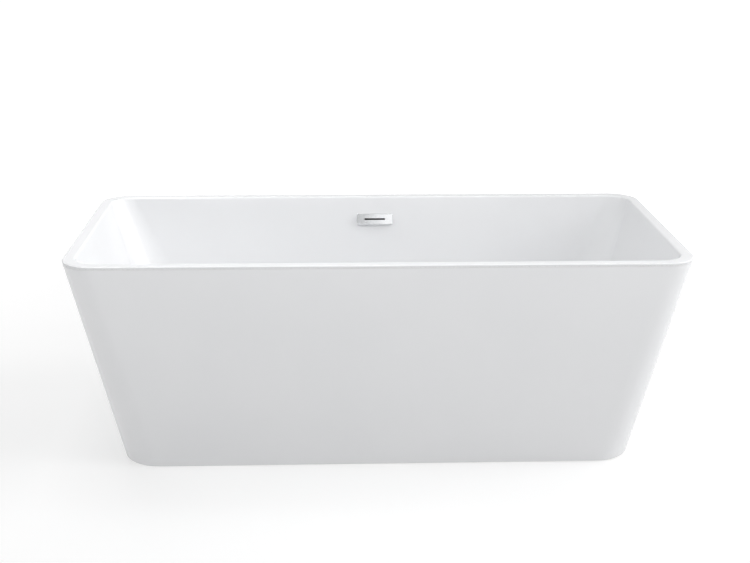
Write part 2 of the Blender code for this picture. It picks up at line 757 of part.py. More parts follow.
def make_drain_flange(parts, cutters):
    """Flanged drain tube, with a cross inside that holds the stopper's cartridge."""
    edge = DRAIN_FLANGE_THICKNESS / 3
    profile = [
        (DRAIN_BORE, FLANGE_TOP - edge),
        (DRAIN_BORE + edge, FLANGE_TOP),
        (DRAIN_FLANGE_RADIUS - 2 * edge, FLANGE_TOP),
        (DRAIN_FLANGE_RADIUS, FLANGE_TOP - edge),
        (DRAIN_FLANGE_RADIUS, FLANGE_BOTTOM),
        (DRAIN_TUBE_RADIUS, FLANGE_BOTTOM),
        (DRAIN_TUBE_RADIUS, DRAIN_TUBE_BOTTOM),
        (DRAIN_BORE, DRAIN_TUBE_BOTTOM),
    ]
    flange = turned("drain_flange", profile, parts, True, (0, DRAIN_Y, 0))
    middle = (0, DRAIN_Y, CROSS_BOTTOM + CROSS_THICKNESS / 2)
    reach = 2 * (DRAIN_BORE + CROSS_OVERLAP)
    bars = (
        ("x", (reach, CROSS_WIDTH, CROSS_THICKNESS)),
        ("y", (CROSS_WIDTH, reach, CROSS_THICKNESS)),
    )
    for name, size in bars:
        combine(flange, box(f"drain_cross_{name}", size, middle, cutters), "UNION")
    hub = cylinder(
        "drain_cross_hub", CROSS_HUB_RADIUS, CROSS_THICKNESS, middle, cutters, steps=SMALL_STEPS
    )
    combine(flange, hub, "UNION")
    hole = bore(
        "drain_hub_cutter", CARTRIDGE_RADIUS + GAP, 4 * CROSS_THICKNESS, middle, cutters, steps=SMALL_STEPS
    )
    combine(flange, hole, "DIFFERENCE")
    chrome(flange)


def make_stopper(parts):
    """Click-clack stopper: cap, plunger and seal that lift, and the cartridge and spring below."""
    center = (0, DRAIN_Y, 0)
    hole = PLUNGER_RADIUS + THREAD_CLEARANCE
    top = STOPPER_BOTTOM + STOPPER_THICKNESS
    boss_bottom = STOPPER_BOTTOM - STOPPER_BOSS_HEIGHT
    profile = [(0, top)]
    profile += [(share * STOPPER_RADIUS, top - drop) for share, drop in STOPPER_DOME]
    profile += [
        (STOPPER_RADIUS, STOPPER_BOTTOM + STOPPER_EDGE_HEIGHT),
        (STOPPER_RADIUS - STOPPER_EDGE_WIDTH, STOPPER_BOTTOM),
        (STOPPER_BOSS_RADIUS, STOPPER_BOTTOM),
        (STOPPER_BOSS_RADIUS, boss_bottom),
        (hole, boss_bottom),
        (hole, PLUNGER_TOP + GAP),
        (0, PLUNGER_TOP + GAP),
    ]
    chrome(turned("stopper_cap", profile, parts, False, center))

    seal = ring(
        "stopper_seal",
        STOPPER_BOSS_RADIUS + GAP,
        STOPPER_SEAL_RADIUS,
        STOPPER_SEAL_BOTTOM,
        STOPPER_SEAL_BOTTOM + STOPPER_SEAL_THICKNESS,
        parts,
        center,
    )
    rubber(seal)

    plunger_bottom = PLUNGER_TOP - PLUNGER_LENGTH
    plunger = [
        (0, PLUNGER_TOP),
        (PLUNGER_RADIUS, PLUNGER_TOP),
        (PLUNGER_RADIUS, plunger_bottom),
        (0, plunger_bottom),
    ]
    zinc(turned("stopper_plunger", plunger, parts, False, center, SMALL_STEPS))

    bore_floor = CARTRIDGE_BOTTOM + CARTRIDGE_FLOOR
    collar_bottom = CROSS_BOTTOM + CROSS_THICKNESS + GAP
    cartridge_top = CARTRIDGE_BOTTOM + CARTRIDGE_LENGTH
    cartridge = [
        (0, bore_floor),
        (CARTRIDGE_BORE, bore_floor),
        (CARTRIDGE_BORE, cartridge_top),
        (CARTRIDGE_RADIUS, cartridge_top),
        (CARTRIDGE_RADIUS, collar_bottom + CARTRIDGE_COLLAR),
        (CARTRIDGE_RADIUS + CARTRIDGE_COLLAR, collar_bottom + CARTRIDGE_COLLAR),
        (CARTRIDGE_RADIUS + CARTRIDGE_COLLAR, collar_bottom),
        (CARTRIDGE_RADIUS, collar_bottom),
        (CARTRIDGE_RADIUS, CARTRIDGE_BOTTOM),
        (0, CARTRIDGE_BOTTOM),
    ]
    finish_with(
        turned("stopper_cartridge", cartridge, parts, False, center, SMALL_STEPS),
        (0.75, 0.60, 0.30),
        0.3,
        1.0,
    )

    start = bore_floor + GAP + SPRING_WIRE
    rise = plunger_bottom - GAP - SPRING_WIRE - start
    per_turn = 8
    count = SPRING_TURNS * per_turn + 1
    curve = bpy.data.curves.new("stopper_spring", "CURVE")
    curve.dimensions = "3D"
    curve.bevel_depth = SPRING_WIRE
    curve.bevel_resolution = 0
    curve.use_fill_caps = True
    spline = curve.splines.new("POLY")
    spline.points.add(count - 1)
    for i, point in enumerate(spline.points):
        angle = 2 * math.pi * i / per_turn
        height = start + rise * i / (count - 1)
        x = SPRING_RADIUS * math.cos(angle)
        y = SPRING_RADIUS * math.sin(angle)
        point.co = (x, y, height, 1)
    spring = add_object("stopper_spring", curve, parts)
    spring.location = center
    zinc(spring)


def make_drain_body(parts, cutters):
    """Seals, shoe with its side branch, and the tail that carries the water away."""
    center = (0, DRAIN_Y, 0)
    shoe_bore = DRAIN_TUBE_RADIUS + SHOE_CLEARANCE
    rubber(
        ring(
            "drain_flange_seal",
            DRAIN_TUBE_RADIUS + SEAL_BORE_CLEARANCE,
            DRAIN_FLANGE_RADIUS - SEAL_RIM_INSET,
            SEAL_BOTTOM,
            SEAL_BOTTOM + FLANGE_SEAL_THICKNESS,
            parts,
            center,
        )
    )
    rubber(
        ring(
            "drain_lower_gasket",
            DRAIN_TUBE_RADIUS + SEAL_BORE_CLEARANCE,
            SHOE_FLANGE_RADIUS - SEAL_RIM_INSET,
            SHOE_TOP + GAP,
            SHOE_TOP + GAP + LOWER_GASKET_THICKNESS,
            parts,
            center,
        )
    )
    profile = [
        (shoe_bore, SHOE_TOP),
        (SHOE_FLANGE_RADIUS, SHOE_TOP),
        (SHOE_FLANGE_RADIUS, SHOE_TOP - SHOE_FLANGE_THICKNESS),
        (SHOE_RADIUS, SHOE_TOP - SHOE_FLANGE_THICKNESS),
        (SHOE_RADIUS, SHOE_BOTTOM),
        (OUTLET_RADIUS, SHOE_BOTTOM),
        (OUTLET_RADIUS, OUTLET_BOTTOM),
        (OUTLET_BORE, OUTLET_BOTTOM),
        (OUTLET_BORE, SHOE_BOTTOM + SHOE_FLOOR),
        (shoe_bore, SHOE_BOTTOM + SHOE_FLOOR),
    ]
    shoe = turned("drain_shoe", profile, parts, True, center)
    start = DRAIN_Y + (SHOE_RADIUS + shoe_bore) / 2
    end = DRAIN_Y + SHOE_RADIUS + SPIGOT_LENGTH
    branch = cylinder(
        "drain_branch",
        SPIGOT_RADIUS,
        end - start,
        (0, (start + end) / 2, HOSE_LEVEL),
        cutters,
        "Y",
        SMALL_STEPS,
    )
    combine(shoe, branch, "UNION")
    passage = bore(
        "drain_branch_cutter",
        SPIGOT_BORE,
        2 * SPIGOT_LENGTH + SHOE_RADIUS,
        (0, DRAIN_Y + SHOE_RADIUS + SPIGOT_LENGTH / 2, HOSE_LEVEL),
        cutters,
        "Y",
        SMALL_STEPS,
    )
    combine(shoe, passage, "DIFFERENCE")
    dark_plastic(shoe)

    washer_top = OUTLET_BOTTOM - GAP
    rubber(
        ring("tail_washer", OUTLET_BORE, OUTLET_RADIUS, washer_top - TAIL_WASHER, washer_top, parts, center)
    )
    collar_top = washer_top - TAIL_WASHER - GAP
    collar_bottom = collar_top - TAIL_COLLAR
    inner = TAIL_RADIUS - TAIL_WALL
    pipe = [
        (inner, collar_top),
        (OUTLET_RADIUS, collar_top),
        (OUTLET_RADIUS, collar_bottom),
        (TAIL_RADIUS, collar_bottom),
        (TAIL_RADIUS, TAIL_END),
        (inner, TAIL_END),
    ]
    white_plastic(turned("tail_pipe", pipe, parts, True, center))

    lip_top = collar_bottom - GAP
    nut_top = OUTLET_BOTTOM + TAIL_NUT_GRIP
    inner = OUTLET_RADIUS + THREAD_CLEARANCE
    nut = [
        (inner, nut_top),
        (TAIL_NUT_RADIUS - TAIL_NUT_EDGE, nut_top),
        (TAIL_NUT_RADIUS, nut_top - TAIL_NUT_EDGE),
        (TAIL_NUT_RADIUS, lip_top - TAIL_NUT_LIP),
        (TAIL_RADIUS + THREAD_CLEARANCE, lip_top - TAIL_NUT_LIP),
        (TAIL_RADIUS + THREAD_CLEARANCE, lip_top),
        (inner, lip_top),
    ]
    dark_plastic(turned("tail_nut", nut, parts, True, center))


# ---- Overflow -------------------------------------------------------------------------------------------


def frame_plate(name, length, height, hole_length, hole_height, low, high, parts, cutters, seat):
    """A flat rectangular plate or gasket with a rectangular window, at two depths off the wall."""
    middle = (0, 0, (low + high) / 2)
    plate = box(name, (length, height, high - low), middle, parts, seat)
    window = (hole_length, hole_height, 4 * (high - low))
    combine(plate, box(name + "_cutter", window, middle, cutters, seat), "DIFFERENCE")
    return plate


def make_overflow_front(parts, cutters, seat):
    """Front gasket, bracket, its two screws and the slotted cover that snaps over them."""
    bracket_length = COVER_LENGTH - 2 * (COVER_WALL + BRACKET_MARGIN)
    bracket_height = COVER_HEIGHT - 2 * (COVER_WALL + BRACKET_MARGIN)
    gasket_top = GAP + FRONT_GASKET_THICKNESS
    gasket = frame_plate(
        "overflow_front_gasket",
        bracket_length,
        bracket_height,
        WINDOW_LENGTH,
        WINDOW_HEIGHT,
        GAP,
        gasket_top,
        parts,
        cutters,
        seat,
    )
    rubber(gasket)
    bracket_bottom = gasket_top + GAP
    bracket_top = bracket_bottom + BRACKET_THICKNESS
    bracket = frame_plate(
        "overflow_bracket",
        bracket_length,
        bracket_height,
        BRACKET_WINDOW_LENGTH,
        BRACKET_WINDOW_HEIGHT,
        bracket_bottom,
        bracket_top,
        parts,
        cutters,
        seat,
    )
    dark_plastic(bracket)
    head = bracket_top + GAP
    profile = [
        (0, head + BODY_SCREW_HEAD_HEIGHT),
        (HEAD_FLAT * BODY_SCREW_HEAD_RADIUS, head + BODY_SCREW_HEAD_HEIGHT),
        (BODY_SCREW_HEAD_RADIUS, head + BODY_SCREW_HEAD_RIM * BODY_SCREW_HEAD_HEIGHT),
        (BODY_SCREW_HEAD_RADIUS, head),
        (BODY_SCREW_RADIUS, head),
        (BODY_SCREW_RADIUS, head - BODY_SCREW_LENGTH),
        (0, head - BODY_SCREW_LENGTH),
    ]
    for side, name in ((-1, "left"), (1, "right")):
        place = (side * BODY_SCREW_SPACING / 2, 0, 0)
        hole = bore(
            f"overflow_bracket_screw_cutter_{name}",
            BODY_SCREW_RADIUS + THREAD_CLEARANCE,
            2 * (bracket_top + BRACKET_THICKNESS),
            place,
            cutters,
            steps=SMALL_STEPS,
            parent=seat,
        )
        combine(bracket, hole, "DIFFERENCE")
        screw = turned(f"overflow_screw_{name}", profile, parts, False, place, SMALL_STEPS, seat)
        zinc(screw)

    low = GAP
    high = low + COVER_DEPTH
    cover = box(
        "overflow_cover",
        (COVER_LENGTH, COVER_HEIGHT, COVER_DEPTH),
        (0, 0, (low + high) / 2),
        parts,
        seat,
    )
    bevel(cover, COVER_EDGE)
    inner = box(
        "overflow_cover_cutter",
        (COVER_LENGTH - 2 * COVER_WALL, COVER_HEIGHT - 2 * COVER_WALL, 2 * (COVER_DEPTH - COVER_WALL)),
        (0, 0, low),
        cutters,
        seat,
    )
    combine(cover, inner, "DIFFERENCE")
    slot = box(
        "overflow_slot_cutter",
        (COVER_SLOT_LENGTH, COVER_SLOT_HEIGHT, 4 * COVER_WALL),
        (0, 0, high),
        cutters,
        seat,
    )
    combine(cover, slot, "DIFFERENCE")
    chrome(cover)


def make_overflow_body(parts, cutters, seat):
    """Rear gasket, and the shallow tray behind the wall with its hose spigot."""
    gasket_top = -BASIN_WALL - GAP
    gasket_bottom = gasket_top - REAR_GASKET_THICKNESS
    gasket = frame_plate(
        "overflow_rear_gasket",
        BODY_LENGTH,
        BODY_HEIGHT,
        WINDOW_LENGTH,
        WINDOW_HEIGHT,
        gasket_bottom,
        gasket_top,
        parts,
        cutters,
        seat,
    )
    rubber(gasket)
    top = gasket_bottom - GAP
    middle = top - BODY_DEPTH / 2
    body = box("overflow_body", (BODY_LENGTH, BODY_HEIGHT, BODY_DEPTH), (0, 0, middle), parts, seat)
    bevel(body, BODY_EDGE, segments=1)
    hollow = box(
        "overflow_body_cutter",
        (BODY_LENGTH - 2 * BODY_WALL, BODY_HEIGHT - 2 * BODY_WALL, 2 * (BODY_DEPTH - BODY_WALL)),
        (0, 0, top),
        cutters,
        seat,
    )
    combine(body, hollow, "DIFFERENCE")
    spigot_top = -BODY_HEIGHT / 2 + BODY_WALL / 2
    spigot_bottom = -BODY_HEIGHT / 2 - SPIGOT_LENGTH
    spigot = cylinder(
        "overflow_spigot",
        SPIGOT_RADIUS,
        spigot_top - spigot_bottom,
        (0, (spigot_top + spigot_bottom) / 2, middle),
        cutters,
        "Y",
        SMALL_STEPS,
        seat,
    )
    combine(body, spigot, "UNION")
    passage = bore(
        "overflow_spigot_cutter",
        SPIGOT_BORE,
        3 * SPIGOT_LENGTH,
        (0, -BODY_HEIGHT / 2 - SPIGOT_LENGTH, middle),
        cutters,
        "Y",
        SMALL_STEPS,
        seat,
    )
    combine(body, passage, "DIFFERENCE")
    for side, name in ((-1, "left"), (1, "right")):
        x = side * BODY_SCREW_SPACING / 2
        boss_height = BODY_DEPTH - BODY_WALL / 2
        boss = cylinder(
            f"overflow_boss_{name}",
            BODY_BOSS_RADIUS,
            boss_height,
            (x, 0, top - boss_height / 2),
            cutters,
            steps=SMALL_STEPS,
            parent=seat,
        )
        combine(body, boss, "UNION")
        hole_depth = BODY_SCREW_LENGTH - BASIN_WALL - REAR_GASKET_THICKNESS
        hole = bore(
            f"overflow_boss_cutter_{name}",
            BODY_SCREW_RADIUS + THREAD_CLEARANCE,
            2 * hole_depth,
            (x, 0, top),
            cutters,
            steps=SMALL_STEPS,
            parent=seat,
        )
        combine(body, hole, "DIFFERENCE")
    dark_plastic(body)
    return middle


def bezier(a, b, c, d, count):
    """Points along a cubic curve, from a to d."""
    points = []
    for i in range(count + 1):
        t = i / count
        s = 1 - t
        points.append(a * s**3 + b * (3 * s * s * t) + c * (3 * s * t * t) + d * t**3)
    return points


def make_hose(parts, seat, depth):
    """Hose from the overflow down between the two shells to the drain shoe, with its clamps."""
    start = -BODY_HEIGHT / 2 - HOSE_END_CLEARANCE
    end = -BODY_HEIGHT / 2 - SPIGOT_LENGTH - HOSE_STRAIGHT
    spigot_start = seat.matrix_world @ Vector((0, start, depth))
    spigot_end = seat.matrix_world @ Vector((0, end, depth))
    down = (spigot_end - spigot_start).normalized()
    lean = (WIDTH - BASE_WIDTH) / 2 / HEIGHT
    along_skirt = Vector((0, -lean, -1)).normalized()
    inside = outside_at(HOSE_BEND_HEIGHT, SKIRT_WALL)[1] - HOSE_RADIUS - HOSE_SKIRT_CLEARANCE
    bend_start = Vector((OVERFLOW_X, inside, HOSE_BEND_HEIGHT))
    branch_end = DRAIN_Y + SHOE_RADIUS + SPIGOT_LENGTH + HOSE_STRAIGHT
    bend_end = Vector((0, branch_end, HOSE_LEVEL))
    hose_end = Vector((0, DRAIN_Y + SHOE_RADIUS + HOSE_END_CLEARANCE, HOSE_LEVEL))
    long_run = (spigot_end - bend_start).length / 3
    points = [spigot_start]
    points += bezier(
        spigot_end,
        spigot_end + down * long_run,
        bend_start - along_skirt * long_run,
        bend_start,
        HOSE_STEPS,
    )
    drop = bend_start.z - bend_end.z
    points += bezier(
        bend_start,
        bend_start + along_skirt * HOSE_BEND_PULL * drop,
        bend_end + Vector((0, HOSE_BEND_PULL * (bend_start.y - bend_end.y), 0)),
        bend_end,
        HOSE_STEPS,
    )[1:]
    points.append(hose_end)

    curve = bpy.data.curves.new("overflow_hose", "CURVE")
    curve.dimensions = "3D"
    curve.bevel_depth = HOSE_RADIUS
    curve.bevel_resolution = 4
    spline = curve.splines.new("POLY")
    spline.points.add(len(points) - 1)
    for target, point in zip(spline.points, points):
        target.co = (*point, 1)
    guide = add_object("overflow_hose_path", curve, parts)
    bpy.context.view_layer.update()
    graph = bpy.context.evaluated_depsgraph_get()
    mesh = bpy.data.meshes.new_from_object(guide.evaluated_get(graph))
    bpy.data.objects.remove(guide)
    hose = add_object("overflow_hose", mesh, parts)
    shell = hose.modifiers.new("Wall", "SOLIDIFY")
    shell.thickness = HOSE_WALL
    shell.offset = -1
    hose.data.shade_smooth()
    finish_with(hose, (0.55, 0.56, 0.58), 0.5)

    inner = HOSE_RADIUS + GAP
    low, high = -CLAMP_WIDTH / 2, CLAMP_WIDTH / 2
    upper = ring("hose_clamp_upper", inner, CLAMP_RADIUS, low, high, parts, parent=seat)
    upper.location = (0, -BODY_HEIGHT / 2 - CLAMP_PLACE * SPIGOT_LENGTH, depth)
    upper.rotation_euler = (math.pi / 2, 0, 0)
    zinc(upper)
    lower = ring("hose_clamp_lower", inner, CLAMP_RADIUS, low, high, parts)
    lower.location = (0, DRAIN_Y + SHOE_RADIUS + CLAMP_PLACE * SPIGOT_LENGTH, HOSE_LEVEL)
    lower.rotation_euler = (math.pi / 2, 0, 0)
    zinc(lower)


# ---- Assembly -------------------------------------------------------------------------------------------


def hide_helpers(cutters):
    for obj in cutters.objects:
        obj.hide_render = True
        obj.display_type = "WIRE"


def main():
    clear_scene()
    parts = new_collection("freestanding_bathtub")
    cutters = new_collection("cutters")
    seat = overflow_seat(parts)
    make_basin(parts, cutters, seat)
    make_skirt(parts)
    make_rim_bead(parts)
    make_board(parts, cutters)
    make_frame(parts, cutters)
    make_board_screws(parts)
    make_feet(parts, cutters)
    make_drain_flange(parts, cutters)
    make_stopper(parts)
    make_drain_body(parts, cutters)
    make_overflow_front(parts, cutters, seat)
    depth = make_overflow_body(parts, cutters, seat)
    make_hose(parts, seat, depth)
    hide_helpers(cutters)


main()
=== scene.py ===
"""Freestanding bathtub: fine surfaces, materials, floor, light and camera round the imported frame.

Metres, +Z up, in the frame's own coordinates: the origin is on the floor under the middle of the tub,
X runs along the length, and the overflow is in the +Y wall.
"""

import math

import bmesh
import bpy
from mathutils import Matrix, Vector


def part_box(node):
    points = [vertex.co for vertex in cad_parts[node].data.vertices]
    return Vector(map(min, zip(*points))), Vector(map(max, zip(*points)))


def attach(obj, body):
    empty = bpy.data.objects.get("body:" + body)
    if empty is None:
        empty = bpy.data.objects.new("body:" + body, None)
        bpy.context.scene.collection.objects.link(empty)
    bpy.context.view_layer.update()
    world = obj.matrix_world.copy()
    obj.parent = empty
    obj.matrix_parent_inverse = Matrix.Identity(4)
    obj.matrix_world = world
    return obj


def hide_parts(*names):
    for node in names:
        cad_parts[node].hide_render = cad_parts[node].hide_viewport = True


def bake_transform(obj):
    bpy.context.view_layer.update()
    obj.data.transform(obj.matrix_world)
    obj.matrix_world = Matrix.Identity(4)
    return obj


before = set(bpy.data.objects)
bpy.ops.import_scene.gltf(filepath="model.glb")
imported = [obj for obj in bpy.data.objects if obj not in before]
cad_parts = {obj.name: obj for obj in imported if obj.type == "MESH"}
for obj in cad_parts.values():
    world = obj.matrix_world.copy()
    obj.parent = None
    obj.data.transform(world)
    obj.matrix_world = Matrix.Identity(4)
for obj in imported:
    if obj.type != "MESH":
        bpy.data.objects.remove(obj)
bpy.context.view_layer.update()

# ---- Sizes ----

GAP = 0.0003  # the frame keeps this between pieces that touch
TUB_LOW, TUB_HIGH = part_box("basin")
SKIRT_LOW, SKIRT_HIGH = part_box("outer_skirt")
LENGTH = TUB_HIGH.x - TUB_LOW.x
WIDTH = TUB_HIGH.y - TUB_LOW.y
HEIGHT = TUB_HIGH.z
BASE_LENGTH = 1.370
BASE_WIDTH = 0.590
RIM_CORNER_RADIUS = 0.080
BASE_CORNER_RADIUS = 0.104
SKIRT_WALL = 0.004
SKIRT_FLANGE = 0.022
SKIRT_EDGE_RADIUS = 0.0012
SKIRT_TOP_RADIUS = 0.0002
SKIRT_INNER_FILLET = 0.006
RIM_WIDTH = 0.030
RIM_THICKNESS = 0.005
RIM_OUTER_FILLET = 0.0035
RIM_INNER_FILLET = 0.0065
RIM_LOWER_EDGE = 0.0002
RIM_SUPPORT = 0.002
BEAD_WIDTH = 0.018
BEAD_INSET = 0.0001
BASIN_WALL = 0.005
FLOOR_Z = TUB_LOW.z + BASIN_WALL
END_SLOPE = 0.34
SIDE_SLOPE = 0.20
SIDE_ANGLE = math.atan(SIDE_SLOPE)
BASIN_CORNER_RADIUS = 0.060
BASIN_CORNER_GROWTH = 0.18
FLOOR_FILLET = 0.080
BASIN_DRAIN_BORE = 0.026
BOARD_EDGE = 0.0008
BOARD_CORNER_RADIUS = 0.050
BOARD_DRAIN_BORE = 0.044
BOARD_PILOT = 0.0027
TUBE_WALL = 0.002
RAIL_HOLE = 0.0063
CROSSBAR_HOLE = 0.0028
WELD_RADIUS = 0.0021
WELD_PROUD = 0.0004
WELD_ROWS = 28
FOOT_BORE = 0.0063
COVER_SIZE = (0.054, 0.016, 0.009)  # half length, half height and depth
COVER_WALL = 0.0015
COVER_CORNER = 0.0030
COVER_EDGE = 0.0011
COVER_SLOT = (0.032, 0.0025)  # half length and half height
OVERFLOW_X = 0.010
OVERFLOW_DEPTH = 0.066  # from the rim down to the middle of the cover
OVERFLOW_BODY_HEIGHT = 0.030
OVERFLOW_AXIS_DEPTH = 0.0085 + 0.002 + BASIN_WALL + 2 * GAP  # behind the basin's inner face
DRAIN = (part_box("drain_flange")[0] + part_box("drain_flange")[1]) / 2
DRAIN_BORE = 0.021
SHOE_RADIUS = 0.030
BRANCH_LEVEL = (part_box("rail_front")[1].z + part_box("base_board")[0].z) / 2
SPIGOT_RADIUS = 0.0071
SPIGOT_BORE = 0.0054
SPIGOT_LENGTH = 0.020
HOSE_RADIUS = 0.0095
HOSE_BORE = 0.0076
HOSE_CUFF = 0.030
HOSE_PITCH = 0.0042
HOSE_RIPPLE = 0.0011
HOSE_CLEARANCE = 0.009  # from the skirt at the lower bend
HOSE_BEND_HEIGHT = 0.215

CORNER_STEPS = 24
FILLET_STEPS = 20
EDGE_STEPS = 6
ROUND = 64  # columns of a turned piece
SUPPORT = 0.004  # loops this far from an edge keep the flat walls flat in shading

# ---- Camera, light and floor ----

CAMERA_PLACE = (-0.1402, -3.3634, 1.4815)
CAMERA_TURN = (2.358, 17.50, 0.265)  # degrees to the right, down and rolled
CAMERA_LENS = 60.58
FLOOR_REACH = 40.0
# Brightness of the surroundings from near the horizon to overhead, by the height of the direction
SKY_HEIGHTS = (0.20, 0.50)
SKY_STRENGTHS = (0.50, 0.08)
# Glow of the floor by distance from the tub's middle
GLOW_DISTANCES = (0.8, 3.4)
GLOW_STRENGTHS = (0.57, 0.98)
# name, place, point that it faces, width, height, watts
SOFT_BOXES = (
    ("key_right", (3.4, -0.5, 2.5), (-0.5, 0.0, 0.4), 2.0, 2.0, 52.0),
    ("key_right_high", (2.2, 0.0, 3.4), (-0.4, 0.0, 0.4), 1.6, 1.6, 33.0),
    ("back_right", (2.6, 2.0, 2.2), (0.0, 0.0, 0.4), 1.6, 1.6, 20.0),
    ("back_high", (0.0, 2.4, 2.4), (0.0, 0.0, 0.4), 3.0, 1.2, 6.0),
    ("overhead_front", (0.0, -0.9, 1.9), (0.0, -0.3, 0.5), 2.4, 0.5, 15.0),
    ("overhead_left", (-1.0, 0.3, 1.9), (-0.5, 0.3, 0.4), 0.8, 0.8, 13.0),
    ("front_card", (0.78, -4.5, 1.25), (0.0, 0.33, 0.5), 1.2, 0.9, 2.5),
)


def make_camera():
    camera_data = bpy.data.cameras.new("camera")
    camera_data.lens = CAMERA_LENS
    camera_data.sensor_width = 36.0
    camera_data.clip_end = 200.0
    camera = bpy.data.objects.new("camera", camera_data)
    bpy.context.scene.collection.objects.link(camera)
    yaw, pitch, roll = (math.radians(angle) for angle in CAMERA_TURN)
    turn = (
        Matrix.Rotation(-yaw, 4, "Z")
        @ Matrix.Rotation(math.pi / 2 - pitch, 4, "X")
        @ Matrix.Rotation(roll, 4, "Z")
    )
    camera.matrix_world = Matrix.Translation(CAMERA_PLACE) @ turn
    bpy.context.scene.camera = camera


def area_light(name, place, target, width, height, watts):
    light = bpy.data.lights.new(name, "AREA")
    light.shape = "RECTANGLE"
    light.size = width
    light.size_y = height
    light.energy = watts
    lamp = bpy.data.objects.new(name, light)
    bpy.context.scene.collection.objects.link(lamp)
    lamp.location = place
    lamp.rotation_euler = (Vector(target) - Vector(place)).to_track_quat("-Z", "Y").to_euler()


def smooth_range(tree, source, source_range, result_range):
    """A smooth step between two numbers as the source goes through its range."""
    made = tree.nodes.new("ShaderNodeMapRange")
    made.interpolation_type = "SMOOTHSTEP"
    names = ("From Min", "From Max", "To Min", "To Max")
    for name, value in zip(names, (*source_range, *result_range)):
        made.inputs[name].default_value = value
    tree.links.new(source, made.inputs["Value"])
    return made.outputs["Result"]


def make_studio():
    """Surroundings bright at the horizon, soft boxes, and a pale floor that turns white far away."""
    scene = bpy.context.scene
    scene.view_settings.view_transform = "Standard"
    scene.world = bpy.data.worlds.new("studio")
    scene.world.use_nodes = True
    tree = scene.world.node_tree
    background = tree.nodes["Background"]
    background.inputs["Color"].default_value = (0.985, 0.99, 1.0, 1.0)
    upward = tree.nodes.new("ShaderNodeSeparateXYZ")
    tree.links.new(tree.nodes.new("ShaderNodeTexCoord").outputs["Generated"], upward.inputs[0])
    sky = smooth_range(tree, upward.outputs["Z"], SKY_HEIGHTS, SKY_STRENGTHS)
    tree.links.new(sky, background.inputs["Strength"])
    for box in SOFT_BOXES:
        area_light(*box)

    floor_mesh = bpy.data.meshes.new("studio_floor")
    corners = [(x * FLOOR_REACH, y * FLOOR_REACH, 0) for x, y in ((-1, -1), (1, -1), (1, 1), (-1, 1))]
    floor_mesh.from_pydata(corners, [], [(0, 1, 2, 3)])
    floor = bpy.data.objects.new("studio_floor", floor_mesh)
    scene.collection.objects.link(floor)
    look = Look("studio_floor", (0.45, 0.45, 0.45), 0.9)
    look.set("Specular IOR Level", 0.1)
    look.set("Emission Color", (1.0, 1.0, 1.0, 1.0))
    distance = look.node("ShaderNodeVectorMath")
    distance.operation = "LENGTH"
    look.tree.links.new(look.place, distance.inputs[0])
    glow = smooth_range(look.tree, distance.outputs["Value"], GLOW_DISTANCES, GLOW_STRENGTHS)
    look.tree.links.new(glow, look.shader.inputs["Emission Strength"])
    floor_mesh.materials.append(look.material)


# ---- Materials ----


class Look:
    """A Principled material with the few texture nodes that its surface needs."""

    def __init__(self, name, color, roughness, metallic=0.0):
        self.material = bpy.data.materials.new(name)
        self.material.use_nodes = True
        self.tree = self.material.node_tree
        self.shader = self.tree.nodes["Principled BSDF"]
        self.set("Base Color", (*color, 1.0))
        self.set("Roughness", roughness)
        self.set("Metallic", metallic)
        self.place = self.tree.nodes.new("ShaderNodeTexCoord").outputs["Object"]
        self.normal = None

    def set(self, name, value):
        self.shader.inputs[name].default_value = value

    def feed(self, socket, value):
        if isinstance(value, bpy.types.NodeSocket):
            self.tree.links.new(value, socket)
        else:
            socket.default_value = value

    def node(self, kind, **inputs):
        made = self.tree.nodes.new(kind)
        for key, value in inputs.items():
            self.feed(made.inputs[key.replace("_", " ")], value)
        return made

    def stretched(self, scale, turn):
        """The object's coordinates, turned and then scaled differently along each axis."""
        if scale is None:
            return self.place
        mapping = self.node("ShaderNodeMapping", Vector=self.place, Scale=scale, Rotation=turn)
        return mapping.outputs["Vector"]

    def noise(self, scale, detail, stretch=None, turn=(0.0, 0.0, 0.0)):
        vector = self.stretched(stretch, turn)
        made = self.node("ShaderNodeTexNoise", Vector=vector, Scale=scale, Detail=detail)
        return made.outputs["Fac"]

    def cells(self, output, scale, stretch=None, turn=(0.0, 0.0, 0.0), feature="F1"):
        vector = self.stretched(stretch, turn)
        made = self.node("ShaderNodeTexVoronoi", Vector=vector, Scale=scale)
        made.feature = feature
        return made.outputs[output]

    def pattern(self, *made_of):
        return (self.cells if isinstance(made_of[0], str) else self.noise)(*made_of)

    def greater(self, a, b):
        made = self.tree.nodes.new("ShaderNodeMath")
        made.operation = "MAXIMUM"
        self.feed(made.inputs[0], a)
        self.feed(made.inputs[1], b)
        return made.outputs["Value"]

    def color(self, source, *stops):
        """Colours from (position, (r, g, b)) stops."""
        made = self.tree.nodes.new("ShaderNodeValToRGB")
        self.tree.links.new(source, made.inputs["Fac"])
        elements = made.color_ramp.elements
        while len(elements) < len(stops):
            elements.new(0.5)
        for element, (position, color) in zip(elements, stops):
            element.position = position
            element.color = (*color, 1.0)
        self.tree.links.new(made.outputs["Color"], self.shader.inputs["Base Color"])

    def roughness(self, source, low, high):
        made = self.node("ShaderNodeMapRange", Value=source, To_Min=low, To_Max=high)
        self.tree.links.new(made.outputs["Result"], self.shader.inputs["Roughness"])

    def bump(self, source, distance, strength):
        made = self.node("ShaderNodeBump", Height=source, Distance=distance, Strength=strength)
        if self.normal:
            self.tree.links.new(self.normal, made.inputs["Normal"])
        self.normal = made.outputs["Normal"]
        self.tree.links.new(self.normal, self.shader.inputs["Normal"])


